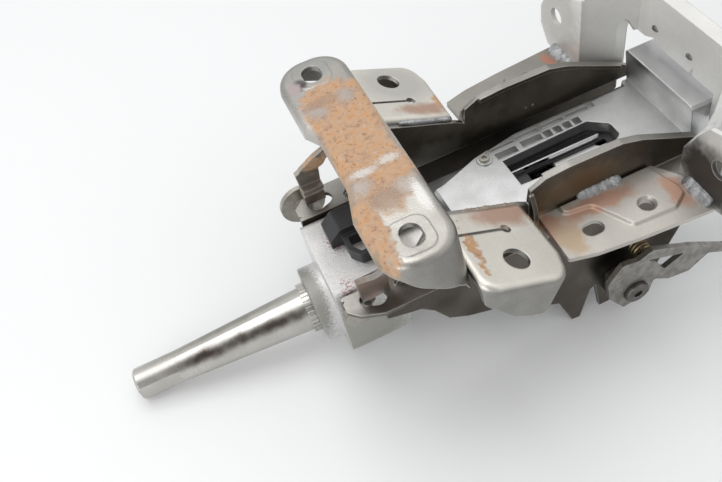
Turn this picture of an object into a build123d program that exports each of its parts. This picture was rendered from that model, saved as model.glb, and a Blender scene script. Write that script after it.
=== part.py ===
# Steering column with its mounting brackets, tilt pivot, telescoping jacket and clamp lever.
# The origin is halfway between the two front mounting holes. +X runs along the steering axis
# towards the steering wheel, +Y to the far side and +Z up to the dashboard beam.
import os
from math import atan2, cos, degrees, hypot, radians, sin

from build123d import *

# Driving dimensions of the frame, in millimetres and degrees
axis_drop = 62.3
sheet = 2.4
fit = 0.05
seat_gap = 0.3

ear_spacing = 132.8
ear_hole_d = 12.0
ear_slope = 23.1
ear_front = 23.9
ear_rear = 23.5
ear_outer = 14.8
ear_depth = 26.0
ear_corner = 10.0
ear_round = 3.5
ear_slit = 1.6
ear_slit_length = 29.0
ear_slit_y = 48.7

bridge_top = 31.5
bridge_front = 56.5
bridge_rear = 22.0
bridge_half = 70.0
bridge_rim = 7.5
bridge_skirt = 37.5
bridge_flare = 10.0
bridge_lean = 4.0
bridge_corner = 15.0
bridge_waist = 5.0
bridge_hole_x = -40.0
bridge_hole_spacing = 113.0
bridge_slot_width = 9.4
bridge_slot_length = 12.4

rail_gap = 61.8
rail_web_top = 1.0
rail_web_front = 25.0
rail_flange = 1.6
seam_drop = 3.0
rail_rear = 126.0
step_top = 29.0
step_width = 14.0
arm_tip = 72.0

gusset_sheet = 2.5
gusset_front = 30.0
gusset_edge = 68.0
gusset_hole_d = 7.0
gusset_slot_width = 8.0
gusset_slot_length = 10.5
gusset_slot_place = (48.0, -52.0)
gusset_hole_place = (76.0, -53.0)
rib_front = 40.0
rib_edge = 62.0
rib_rise = 1.6
rib_round = 4.0
rib_taper = 35.0

rear_web_x = 130.0
rear_ear_x = 100.5
rear_top = 24.0
rear_bottom = 3.4
rear_ear_half = 82.0
rear_hole_drop = 4.3
rear_hole_d = 10.0

# Driving dimensions of the tilt pivot and the lower casting
pivot_x = -66.0
pivot_drop = 38.5
pivot_bolt_d = 9.0
bush_wall = 1.5
bush_length = 10.0
pivot_head_r = 7.5
pivot_head_thick = 5.0
pivot_flange_r = 12.5
pivot_flange_thick = 3.5
lug_gap = 1.0
collar_d = 41.0
collar_front = -84.0
collar_rear = -74.0
casting_rear = -40.0
casting_width = 52.0
casting_height = 59.0
bearing_d = 35.0
bearing_width = 9.0
bearing_bore = 20.0
ball_d = 4.4
ball_count = 11

# Driving dimensions of the shafts
shaft_end = -180.7
shaft_end_d = 16.7
shaft_root_d = 23.4
shaft_flat_length = 22.0
shaft_flat_depth = 1.7
spline_d = 16.0
spline_root_d = 13.6
spline_count = 10
spline_tooth = 2.2
lower_shaft_rear = 110.0
upper_shaft_front = 55.0
upper_shaft_d = 25.0
upper_shaft_rear = 250.0
wheel_spline_d = 19.0
wheel_thread_d = 14.0
wheel_thread_length = 13.0
wheel_spline_length = 22.0
wheel_spline_count = 24

# Driving dimensions of the jacket, the sliding tube and the clamp
lower_tube_d = 44.0
lower_tube_wall = 2.5
jacket_front = -3.0
jacket_rear = 150.0
jacket_width = 58.0
jacket_top = 33.0
jacket_below = 31.0
jacket_step = 22.0
slot_front = 34.7
slot_rear = 94.0
slot_half = 9.5
sleeve_wall = 2.0
inner_tube_wall = 2.5
upper_housing_wall = 4.0
inner_tube_front = 60.0
inner_tube_rear = 205.0
telescope_travel = 20.0
clamp_x = 76.0
clamp_drop = 95.0
clamp_bolt_d = 8.0
clamp_slot_play = 0.6
tilt_up = 1.0
tilt_down = 3.0
lever_length = 120.0


def side_plane(y):
    """A plane facing -Y at distance y on the near side; its axes are X and Z."""
    return Plane(origin=(0, -y, 0), x_dir=(1, 0, 0), z_dir=(0, -1, 0))


def cross_plane(x):
    """A plane across the steering axis at x; its axes are Y and Z, its origin on the axis."""
    return Plane(origin=(x, 0, -axis_drop), x_dir=(0, 1, 0), z_dir=(1, 0, 0))


def level_plane(z):
    """A level plane at height z; its axes are X and Y."""
    return Plane(origin=(0, 0, z), x_dir=(1, 0, 0), z_dir=(0, 0, 1))


def save(piece, name):
    """Label a finished piece and write it as a STEP file."""
    piece.part.label = name
    export_step(piece.part, f"parts/{name}.step")


def twin(piece):
    """The same piece on the far side of the column."""
    with BuildPart() as other:
        mirror(piece.part, about=Plane.XZ)
    return other


steering_axis = Axis((0, 0, -axis_drop), (1, 0, 0))
inner_tube_d = bearing_d + 2 * (upper_housing_wall + inner_tube_wall)
axis_side = Plane(origin=(0, 0, -axis_drop), x_dir=(1, 0, 0), z_dir=(0, -1, 0))
slope_sin = sin(radians(ear_slope))
slope_cos = cos(radians(ear_slope))
rail_inner = rail_gap / 2
rail_outer = rail_inner + sheet
lip_outer = rail_inner + step_width
lug_face = casting_width / 2
arm_inner = lug_face + lug_gap
clamp_arm_x = clamp_x - pivot_x
clamp_arm_z = pivot_drop - clamp_drop
clamp_radius = hypot(clamp_arm_x, clamp_arm_z)
tilt_middle = radians((tilt_up - tilt_down) / 2)
tilt_slot_x = pivot_x + clamp_arm_x * cos(tilt_middle) - clamp_arm_z * sin(tilt_middle)
tilt_slot_z = -pivot_drop + clamp_arm_x * sin(tilt_middle) + clamp_arm_z * cos(tilt_middle)
tilt_slot_angle = degrees(atan2(clamp_arm_x, -clamp_arm_z))
tilt_slot_width = clamp_bolt_d + 2 * clamp_slot_play
tilt_slot_length = clamp_radius * radians(tilt_up + tilt_down) + tilt_slot_width

os.makedirs("parts", exist_ok=True)


# Frame: the two side rails, each a pressed plate with an upper web, a step and a lower wall
seam_front = 1 - bridge_rear
seam_rear = rail_web_front - 5


def seam_height(x):
    """Height of the rail's sloping seam, where the ear is welded to it."""
    return -x * slope_sin / slope_cos - seam_drop


flange_top = [
    (rail_web_front + 9, -rail_web_top - 1), (rail_web_front + 22, -rail_web_top),
    (rail_rear - 52, -rail_web_top - 0.6), (rail_rear - 41, -5), (rail_rear - 8, -21),
]
arm_root = -44.0
lip_front = -56.0
skirt_low = -clamp_drop - 18
with BuildPart() as side_rail_right:
    with BuildSketch(side_plane(rail_inner)):
        with BuildLine():
            Polyline(
                [
                    (-46, -step_top), (-34, -14), (seam_front, seam_height(seam_front)),
                    (seam_rear, seam_height(seam_rear)), (rail_web_front, seam_height(seam_rear) - 3),
                    (rail_web_front + 1, -6),
                ] + flange_top + [(rail_rear, -26), (rail_rear, -step_top)],
                close=True,
            )
        make_face()
    extrude(amount=sheet)
    with BuildSketch(side_plane(rail_inner - rail_flange)):
        with BuildLine():
            Polyline(flange_top + [(x, z - sheet) for x, z in reversed(flange_top)], close=True)
        make_face()
    extrude(amount=rail_flange)
    with BuildSketch(Plane(origin=(rail_web_front, 0, 0), x_dir=(0, 1, 0), z_dir=(1, 0, 0))):
        with BuildLine():
            Polyline(
                (-rail_outer, -step_top), (-rail_outer - 2 * sheet, -step_top),
                (-rail_outer - 2 * sheet, -17), (-rail_outer - 1, -8), (-rail_outer, -8), close=True,
            )
        make_face()
    extrude(amount=sheet)
    with BuildSketch(level_plane(-step_top)):
        with BuildLine():
            Polyline(
                (rail_rear, -rail_inner), (arm_root, -rail_inner), (arm_root, -arm_inner),
                (-arm_tip + 4, -arm_inner), (-arm_tip, -arm_inner - 4), (-arm_tip, -lip_outer + 9),
                (-arm_tip + 5, -lip_outer + 4), (lip_front, -lip_outer), (rail_rear, -lip_outer),
                close=True,
            )
        make_face()
        with Locations((-58, -34.5)):
            SlotOverall(13, 8.6, rotation=-20, mode=Mode.SUBTRACT)
    extrude(amount=-sheet)
    with BuildSketch(side_plane(lip_outer - sheet)):
        with BuildLine():
            Polyline(
                (lip_front, -step_top), (lip_front, -34.5), (-49, -36.5), (-39, -39), (-33, -45),
                (-26, -57), (-16, -63), (-3, -67.5), (20, -83), (36, -92), (43, -110), (47, -120),
                (50, -114), (55, -92), (clamp_x - 18, -clamp_drop + 5), (clamp_x - 14, skirt_low), (clamp_x + 12, skirt_low),
                (clamp_x + 22, -clamp_drop - 1), (112, -60), (rail_rear, -50), (rail_rear, -step_top),
                close=True,
            )
        make_face()
    extrude(amount=sheet)
    with BuildSketch(side_plane(arm_inner)):
        with BuildLine():
            Polyline(
                (pivot_x + 12, -step_top), (pivot_x + 10, -pivot_drop), (pivot_x, -pivot_drop - 10),
                (pivot_x - 6, -pivot_drop - 6), (pivot_x - 6, -step_top), close=True,
            )
        make_face()
        fillet(vertices().group_by(Axis.Y)[0] + vertices().group_by(Axis.Y)[1], 3)
    extrude(amount=sheet)
    with BuildSketch(side_plane(arm_inner)):
        with Locations((pivot_x, -pivot_drop)):
            Circle(pivot_bolt_d / 2 + fit)
    extrude(amount=sheet, mode=Mode.SUBTRACT)
    with BuildSketch(side_plane(lip_outer - sheet)):
        with Locations((tilt_slot_x, tilt_slot_z)):
            SlotOverall(tilt_slot_length, tilt_slot_width, rotation=tilt_slot_angle)
    extrude(amount=sheet, mode=Mode.SUBTRACT)
save(side_rail_right, "side_rail_right")
side_rail_left = twin(side_rail_right)
save(side_rail_left, "side_rail_left")

# Frame: the sloping front ears, pressed cups with the front mounting holes
ear_plane = Plane(
    origin=(0, -ear_spacing / 2, 0), x_dir=(slope_cos, 0, -slope_sin), z_dir=(slope_sin, 0, slope_cos)
)
ear_inner = ear_spacing / 2 - rail_outer
with BuildPart() as mounting_ear_right:
    with BuildSketch(ear_plane):
        with BuildLine():
            Polyline(
                (-ear_front, ear_inner), (-ear_front, -ear_outer), (ear_rear - 4, -ear_outer),
                (ear_rear, 0), (ear_rear - 1, ear_inner), close=True,
            )
        make_face()
        fillet(vertices().group_by(Axis.Y)[0], ear_corner)
    extrude(amount=-ear_depth)
    fillet(faces().sort_by(Axis.Z)[-1].edges(), ear_round)
    offset(amount=-sheet, openings=faces().sort_by(Axis((0, 0, 0), (slope_sin, 0, slope_cos)))[0])
    with BuildSketch(ear_plane):
        Circle(ear_hole_d / 2)
    extrude(amount=-sheet * 2, mode=Mode.SUBTRACT)
    with BuildSketch(ear_plane):
        with Locations((ear_slit_length / 2 - ear_front - 1, ear_spacing / 2 - ear_slit_y)):
            Rectangle(ear_slit_length + 2, ear_slit)
        with Locations((ear_slit_length - ear_front, ear_spacing / 2 - ear_slit_y)):
            Circle(1.5 * ear_slit)
    extrude(amount=-sheet * 3, mode=Mode.SUBTRACT)
    with BuildSketch(side_plane(0)):
        with BuildLine():
            Polyline(
                (-60, -2), (-bridge_rear, -2), (-18, -6), (-10, -17), (-2, -23), (5, -26), (10, -25.5),
                (14, -21), (18, -14), (24, -11), (60, -11), (60, -80), (-60, -80), close=True,
            )
        make_face()
    extrude(amount=100, mode=Mode.SUBTRACT)
    with BuildSketch(side_plane(0)):
        with Locations((0, -60)):
            Rectangle(120, 2 * (60 - step_top + 1))
    extrude(amount=lip_outer + 8, mode=Mode.SUBTRACT)
    with BuildSketch(side_plane(0)):
        with Locations((-bridge_rear - 20, 0)):
            Rectangle(40, 80)
    extrude(amount=100, mode=Mode.SUBTRACT)
save(mounting_ear_right, "mounting_ear_right")
mounting_ear_left = twin(mounting_ear_right)
save(mounting_ear_left, "mounting_ear_left")

# Frame: the front bridge, a pressed cup whose ends flare out and reach down to the ears
waist_far = 24.0
waist_near = 34.0
waist_run = 7.0
waist_long_run = 19.0
bridge_round = 4.0
bridge_pad = (18.0, 19.0, 6.0)
bridge_pad_rise = 0.5
bridge_span = 90.0
bridge_holes = [(bridge_hole_x, side * bridge_hole_spacing / 2) for side in (-1, 1)]


def bridge_body(inset):
    """The bridge as a solid that widens downwards, moved in by inset all round and at the top."""
    with BuildPart() as body:
        for depth in (inset, bridge_skirt):
            front = bridge_front - inset + bridge_lean * depth / bridge_skirt
            half = bridge_half - inset + bridge_flare * depth / bridge_skirt
            with BuildSketch(level_plane(bridge_top - depth)):
                with BuildLine():
                    Polyline(
                        (-bridge_rear - inset, -half), (-bridge_rear - inset, half), (-front, half),
                        (-front, waist_far), (-front + bridge_waist, waist_far - waist_run),
                        (-front + bridge_waist, waist_long_run - waist_near), (-front, -waist_near),
                        (-front, -half), close=True,
                    )
                make_face()
                ends = vertices().group_by(Axis.Y)
                fillet(ends[0] + ends[-1], bridge_corner - inset)
        loft(ruled=True)
        if not inset:
            fillet(faces().sort_by(Axis.Z)[-1].edges(), bridge_round)
    return body


bridge_outside = bridge_body(0)
bridge_inside = bridge_body(sheet)
with BuildPart() as front_bridge:
    add(bridge_outside.part)
    add(bridge_inside.part, mode=Mode.SUBTRACT)
    with BuildSketch(side_plane(-2 * bridge_half)):
        with BuildLine():
            Polyline(
                (-bridge_front - 9, bridge_top - 6), (-bridge_front, bridge_top - 6.5), (-51, 23.5),
                (-46, 20), (-38, 15.5), (-30, 11), (-26.5, 7), (-24.6, 2), (-bridge_rear + 1, 2),
                (-bridge_rear + 1, -20), (-bridge_front - 9, -20), close=True,
            )
        make_face()
    extrude(amount=4 * bridge_half, mode=Mode.SUBTRACT)
    with BuildSketch(level_plane(bridge_top - bridge_rim)):
        with Locations((bridge_hole_x, 0)):
            Rectangle(60, bridge_span)
    extrude(amount=-bridge_skirt, mode=Mode.SUBTRACT)
    with BuildSketch(level_plane(bridge_top)):
        with Locations(bridge_holes):
            RectangleRounded(*bridge_pad)
    extrude(amount=bridge_pad_rise)
    chamfer(faces().sort_by(Axis.Z)[-2:].edges(), bridge_pad_rise * 0.8)
    with BuildSketch(level_plane(bridge_top + bridge_pad_rise)):
        with Locations(bridge_holes):
            SlotOverall(bridge_slot_length, bridge_slot_width, rotation=90)
    extrude(amount=-3 * sheet, mode=Mode.SUBTRACT)
save(front_bridge, "front_bridge")

# Frame: bent legs under the bridge, one down to the near arm and one to a block on the far arm
leg_front = 67.0
leg_top = bridge_top - sheet
square_block = 10.0
square_block_rise = 7.0
block_place = (-60.0, lip_outer - square_block / 2)
block_top = square_block_rise - step_top
near_foot = arm_inner + 1.4
near_head = 57.0
far_foot = lip_outer - square_block + 1
far_head = 17.0


def bridge_leg(bends, outline):
    """A leg on the near side, bent across the column and cut to its outline seen from the side."""
    with BuildPart() as leg:
        with BuildSketch(Plane(origin=(-leg_front, 0, 0), x_dir=(0, 1, 0), z_dir=(1, 0, 0))):
            with BuildLine():
                path = Polyline(bends)
            trace(path, line_width=sheet)
        extrude(amount=30)
        with BuildSketch(side_plane(0)):
            with BuildLine():
                Polyline(outline, close=True)
            make_face()
        extrude(amount=bridge_half, mode=Mode.INTERSECT)
    return leg


bridge_leg_right = bridge_leg(
    [
        (-near_foot, sheet / 2 - step_top), (-near_foot - 5, sheet / 2 - step_top), (-near_foot - 6, -12),
        (7 - near_head, 8), (-near_head, 20), (-near_head, bridge_top),
    ],
    [
        (-63, -step_top), (-64, -12), (-58, 8), (-52, 24), (-52, leg_top), (-44, leg_top), (-44, 24),
        (-47, 8), (-49, -12), (-49, -step_top),
    ],
)
save(bridge_leg_right, "bridge_leg_right")
bridge_leg_left = twin(bridge_leg(
    [
        (-far_foot, block_top + sheet / 2), (-far_foot - 6, block_top + sheet / 2),
        (-far_foot - 4.5, -10), (-far_foot + 4, 0), (-far_head - 3, 20), (-far_head, bridge_top),
    ],
    [
        (-65, block_top), (-66, -8), (-64, 2), (-57, 14), (-49, 23), (-49, leg_top), (-41, leg_top),
        (-41, 24), (-46, 16), (-50, 6), (-53, -8), (-54, block_top),
    ],
))
save(bridge_leg_left, "bridge_leg_left")

# Frame: the gusset plates that lie on the rail steps
with BuildPart() as gusset_right:
    with BuildSketch(level_plane(-step_top)):
        with BuildLine():
            Polyline(
                (gusset_front, -rail_outer), (gusset_front - 1, 6.3 - gusset_edge),
                (gusset_front + 12, 3 - gusset_edge), (rear_ear_x - 38, 0.7 - gusset_edge),
                (rear_ear_x, -gusset_edge - 2), (rear_ear_x, -46), (rear_ear_x - 8.5, -rail_outer),
                close=True,
            )
        make_face()
        fillet(vertices().filter_by_position(Axis.Y, -gusset_edge - 3, 8 - gusset_edge), gusset_sheet / 2)
        with Locations(gusset_slot_place):
            SlotOverall(gusset_slot_length, gusset_slot_width, mode=Mode.SUBTRACT)
        with Locations(gusset_hole_place):
            Circle(gusset_hole_d / 2, mode=Mode.SUBTRACT)
    extrude(amount=gusset_sheet)
    with BuildSketch(level_plane(-step_top + gusset_sheet)):
        with BuildLine():
            Polyline(
                (rib_front, -rail_outer - 6), (rib_front + 14, -rail_outer - 8),
                (rib_front + 24, 1 - rib_edge),
                (rear_ear_x - 14.5, -rib_edge), (rear_ear_x - 5.5, 6 - rib_edge), (rear_ear_x - 5.5, -50),
                (rear_ear_x - 10.5, -rail_outer), (rib_front, -rail_outer), close=True,
            )
        make_face()
        fillet(vertices().filter_by_position(Axis.Y, -rib_edge - 4, -rail_outer - 5), rib_round)
        with Locations(gusset_hole_place):
            Circle(gusset_hole_d / 2, mode=Mode.SUBTRACT)
    extrude(amount=rib_rise, taper=rib_taper)
save(gusset_right, "gusset_right")
gusset_left = twin(gusset_right)
save(gusset_left, "gusset_left")

# Frame: the rear bracket, a bent plate cut to the outline of its ears and wavy lower edge
ear_bend_in = 33.0
ear_bend_out = 44.0
strap_inner = 36.2
with BuildPart() as rear_bracket:
    with BuildSketch(level_plane(-60)):
        with BuildLine():
            bend = Polyline(
                (rear_ear_x + sheet / 2, -rear_ear_half - 2), (rear_ear_x + sheet / 2, -ear_bend_out),
                (rear_web_x - sheet / 2, -ear_bend_in), (rear_web_x - sheet / 2, ear_bend_in),
                (rear_ear_x + sheet / 2, ear_bend_out), (rear_ear_x + sheet / 2, rear_ear_half + 2),
            )
        trace(bend, line_width=sheet)
    extrude(amount=100)
    with BuildSketch(Plane(origin=(0, 0, 0), x_dir=(0, 1, 0), z_dir=(1, 0, 0))):
        with BuildLine():
            Polyline(
                [
                    (46, -step_top), (strap_inner, -step_top), (strap_inner, -3), (35.8, 2), (35, 4),
                    (34.2, 2.5), (33, -rear_bottom), (26, -rear_bottom), (16, 0.8), (15.5, -rear_bottom),
                    (-9, -rear_bottom), (-11, 0.8), (-11.5, -rear_bottom), (-27, -rear_bottom), (-28, -19),
                    (-35.5, -20), (-strap_inner, -step_top), (-46, -step_top), (-60, -step_top - 2),
                    (7 - rear_ear_half, -27), (-rear_ear_half, -17), (-rear_ear_half, -4),
                    (6 - rear_ear_half, 8), (16 - rear_ear_half, 15), (26 - rear_ear_half, 12), (-50, 3),
                    (-46, -6), (-44, -9), (-36, -13), (-34, -8), (-31.5, rear_top), (38, rear_top),
                    (46, 17),
                    (rear_ear_half - 20, 13), (rear_ear_half - 6, 6), (rear_ear_half, -6),
                    (rear_ear_half, -17), (rear_ear_half - 7, -27), (60, -step_top - 2),
                ],
                close=True,
            )
        make_face()
        far_ear = vertices().filter_by_position(Axis.Y, 59, rear_ear_half + 1)
        near_ear = vertices().filter_by_position(Axis.Y, -rear_ear_half - 1, -55)
        fillet(far_ear + near_ear, 3)
        with Locations((-ear_spacing / 2, -rear_hole_drop), (ear_spacing / 2, -rear_hole_drop)):
            Circle(rear_hole_d / 2, mode=Mode.SUBTRACT)
    extrude(amount=200, mode=Mode.INTERSECT)
    with BuildSketch(level_plane(rear_top)):
        with Locations((rear_web_x + 4 - sheet, 0)):
            Rectangle(8, 2 * ear_bend_in - 4)
    extrude(amount=-sheet)
save(rear_bracket, "rear_bracket")

# Tilt pivot: bolts fixed in the rail arms, the far one with a wide flanged head
bolt_tip = lug_face - bush_length - 1
with BuildPart() as pivot_bolt_right:
    with BuildSketch(side_plane(bolt_tip)):
        with Locations((pivot_x, -pivot_drop)):
            Circle(pivot_bolt_d / 2)
    extrude(amount=arm_inner + sheet - bolt_tip)
    with BuildSketch(side_plane(arm_inner + sheet)):
        with Locations((pivot_x, -pivot_drop)):
            RegularPolygon(pivot_head_r, 6)
    extrude(amount=pivot_head_thick)
save(pivot_bolt_right, "pivot_bolt_right")

disc_face = lip_outer + 1.0
with BuildPart() as pivot_bolt_left:
    with BuildSketch(side_plane(-disc_face)):
        with Locations((pivot_x, -pivot_drop)):
            Circle(pivot_bolt_d / 2)
    extrude(amount=disc_face - bolt_tip)
    with BuildSketch(side_plane(-disc_face - pivot_flange_thick)):
        with Locations((pivot_x, -pivot_drop)):
            Circle(pivot_flange_r)
    extrude(amount=pivot_flange_thick)
    chamfer(faces().sort_by(Axis.Y)[-1].edges(), 0.8)
save(pivot_bolt_left, "pivot_bolt_left")

with BuildPart() as pivot_bushes:
    for side in (-1, 1):
        with BuildSketch(side_plane(lug_face - bush_length if side > 0 else -lug_face)):
            with Locations((pivot_x, -pivot_drop)):
                Circle(pivot_bolt_d / 2 + bush_wall)
                Circle(pivot_bolt_d / 2 + fit, mode=Mode.SUBTRACT)
        extrude(amount=bush_length)
save(pivot_bushes, "pivot_bushes")

# Far arm: a square-headed clamp block on the slot
with BuildPart() as square_block_left:
    with BuildSketch(level_plane(-step_top)):
        with Locations(block_place):
            Rectangle(square_block + 1, square_block - 1)
    extrude(amount=square_block_rise)
    chamfer(faces().sort_by(Axis.Z)[-1].edges(), 1)
save(square_block_left, "square_block_left")

seat_front = collar_front + 3.0
crimp_wall = 1.6
mouth_r = shaft_root_d / 2 + crimp_wall + 2 * seat_gap

# Lower casting: the collar, the bearing seat and the block with the pivot lugs
with BuildPart() as lower_casting:
    with BuildSketch(cross_plane(collar_rear)):
        Rectangle(casting_width, casting_height)
        with Locations((0, axis_drop - step_top - 14)):
            Rectangle(casting_width, 28)
        fillet(vertices().group_by(Axis.Y)[0], 20)
        fillet(vertices().group_by(Axis.Y)[-1], 5)
    extrude(amount=casting_rear - collar_rear)
    with BuildSketch(cross_plane(collar_front)):
        Circle(collar_d / 2)
    extrude(amount=collar_rear - collar_front)
    fillet(edges().filter_by(GeomType.CIRCLE).sort_by(Axis.X)[0], 0.8)
    with BuildSketch(axis_side):
        with BuildLine():
            Polyline(
                (collar_front - 1, 0), (collar_front - 1, mouth_r), (seat_front, mouth_r),
                (seat_front, bearing_d / 2), (seat_front + bearing_width + 4, bearing_d / 2),
                (seat_front + bearing_width + 4, lower_tube_d / 2), (casting_rear + 1, lower_tube_d / 2),
                (casting_rear + 1, 0), close=True,
            )
        make_face()
    revolve(axis=steering_axis, mode=Mode.SUBTRACT)
    for side in (-1, 1):
        with BuildSketch(side_plane(side * lug_face)):
            with Locations((pivot_x, -pivot_drop)):
                Circle(pivot_bolt_d / 2 + bush_wall)
        extrude(amount=-side * (bush_length + 2), mode=Mode.SUBTRACT)
save(lower_casting, "lower_casting")

# Lower bearing: two grooved rings, a ring of balls and a snap ring
race_mid = (bearing_bore + bearing_d) / 4
groove_r = ball_d / 2 + 0.1
bearing_mid = seat_front + 1.5 + bearing_width / 2


def bearing_ring(centre, inner, outer):
    """A bearing ring round the steering axis with a groove for the balls."""
    with BuildPart() as ring:
        with BuildSketch(axis_side):
            with Locations((centre, (inner + outer) / 2)):
                Rectangle(bearing_width, outer - inner)
            with Locations((centre, race_mid)):
                Circle(groove_r, mode=Mode.SUBTRACT)
        revolve(axis=steering_axis)
    return ring


def bearing_balls(centre):
    """The balls of one bearing, all on their pitch circle."""
    with BuildPart() as balls:
        with Locations(cross_plane(centre)):
            with PolarLocations(race_mid, ball_count):
                Sphere(ball_d / 2)
    return balls


ring_wall = 2.6
lower_bearing_outer = bearing_ring(bearing_mid, bearing_d / 2 - ring_wall, bearing_d / 2)
save(lower_bearing_outer, "lower_bearing_outer")
lower_bearing_inner = bearing_ring(bearing_mid, bearing_bore / 2, bearing_bore / 2 + ring_wall)
save(lower_bearing_inner, "lower_bearing_inner")
lower_bearing_balls = bearing_balls(bearing_mid)
save(lower_bearing_balls, "lower_bearing_balls")

with BuildPart() as lower_snap_ring:
    with BuildSketch(cross_plane(bearing_mid + bearing_width / 2)):
        Circle(bearing_d / 2)
        Circle(bearing_d / 2 - 2.2, mode=Mode.SUBTRACT)
        with Locations((0, -bearing_d / 2)):
            Rectangle(6, 8, mode=Mode.SUBTRACT)
    extrude(amount=1.5)
save(lower_snap_ring, "lower_snap_ring")

# Lower shaft: a tapering journal with one flat, a bearing seat and a splined tail
spline_front = upper_shaft_front - telescope_travel - 10
with BuildPart() as lower_shaft:
    with BuildSketch(axis_side):
        with BuildLine():
            Polyline(
                (shaft_end, 0), (shaft_end, shaft_end_d / 2 - 1), (shaft_end + 1, shaft_end_d / 2),
                (shaft_end + shaft_flat_length, shaft_end_d / 2), (collar_front - 4.4, shaft_root_d / 2),
                (seat_front + 1.5, shaft_root_d / 2), (seat_front + 1.5, bearing_bore / 2),
                (seat_front + bearing_width + 8, bearing_bore / 2),
                (seat_front + bearing_width + 10, spline_d / 2), (lower_shaft_rear - 1, spline_d / 2),
                (lower_shaft_rear, spline_d / 2 - 1), (lower_shaft_rear, 0), close=True,
            )
        make_face()
    revolve(axis=steering_axis)
    with BuildSketch(side_plane(shaft_end_d / 2 - shaft_flat_depth)):
        with Locations((shaft_end, -axis_drop)):
            Rectangle(2 * shaft_flat_length, 2 * shaft_end_d)
    extrude(amount=shaft_end_d, mode=Mode.SUBTRACT)
    with BuildSketch(cross_plane(spline_front)):
        Circle(spline_d / 2 + 2)
        Circle(spline_root_d / 2, mode=Mode.SUBTRACT)
        with PolarLocations(spline_root_d / 2, spline_count):
            Rectangle(spline_d, spline_tooth, mode=Mode.SUBTRACT)
    extrude(amount=lower_shaft_rear - spline_front, mode=Mode.SUBTRACT)
save(lower_shaft, "lower_shaft")

# Tolerance ring: a thin knurled collar between the shaft and the casting's front face
ring_inner = shaft_root_d / 2
ring_out = 4.0
ring_in = 2.0
crimp_count = 32
crimp_notch = (0.9, 0.8)
with BuildPart() as tolerance_ring:
    with BuildSketch(cross_plane(collar_front - ring_out)):
        Circle(ring_inner + crimp_wall)
        with PolarLocations(ring_inner + crimp_wall, crimp_count):
            Rectangle(*crimp_notch, mode=Mode.SUBTRACT)
        Circle(ring_inner, mode=Mode.SUBTRACT)
    extrude(amount=ring_out + ring_in)
save(tolerance_ring, "tolerance_ring")

# Lower tube: joins the lower casting to the front of the jacket
with BuildPart() as lower_tube:
    with BuildSketch(cross_plane(seat_front + bearing_width + 6)):
        Circle(lower_tube_d / 2)
        Circle(lower_tube_d / 2 - lower_tube_wall, mode=Mode.SUBTRACT)
    extrude(amount=jacket_step - 2 - seat_front - bearing_width - 6)
save(lower_tube, "lower_tube")

# Jacket: the die-cast outer tube with its flat slotted top, ribbed ledge and rear block
bore_r = inner_tube_d / 2 + sleeve_wall
jacket_half = jacket_width / 2
jacket_top_z = jacket_top - axis_drop
screw_place = (27.0, 14.6)
lug_mid = 20.0
lug_width = 12.0
block_front = 116.0
block_length = 22.0
block_half = 26.8
block_rise = 21.8
jacket_ring = 28.0
shoulder_depth = 15.0
shoulder_lean = 30.0
shelf_drop = 2.2
pocket_depth = 4.5
pocket_wide = (12.0, 4.4)
pocket_long = (12.5, 3.0)
pocket_small = (4.1, 4.8)
pocket_pitch = 5.7
pocket_count = 4
boss_rise = 1.2
boss_r = 4.0
clamp_split = 3.0

# The shoulders are what the mould leaves away beside the jacket's flat top
with BuildPart() as jacket_shoulders:
    with BuildSketch(level_plane(jacket_top_z)):
        with Locations(((jacket_front + jacket_rear) / 2, 0)):
            Rectangle(jacket_rear - jacket_front + 4, jacket_width + 4)
    extrude(amount=-shoulder_depth)
    with BuildSketch(level_plane(jacket_top_z)):
        with BuildLine():
            Polyline(
                (jacket_front - 1, -8), (4, -10), (30, -20), (60, -25), (jacket_rear + 3, -25),
                (jacket_rear + 3, 25.6), (60, 25.6), (48, 23.5), (24, 19), (2, 11), (jacket_front - 1, 10),
                close=True,
            )
        make_face()
    extrude(amount=-shoulder_depth, taper=-shoulder_lean, mode=Mode.SUBTRACT)

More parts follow.
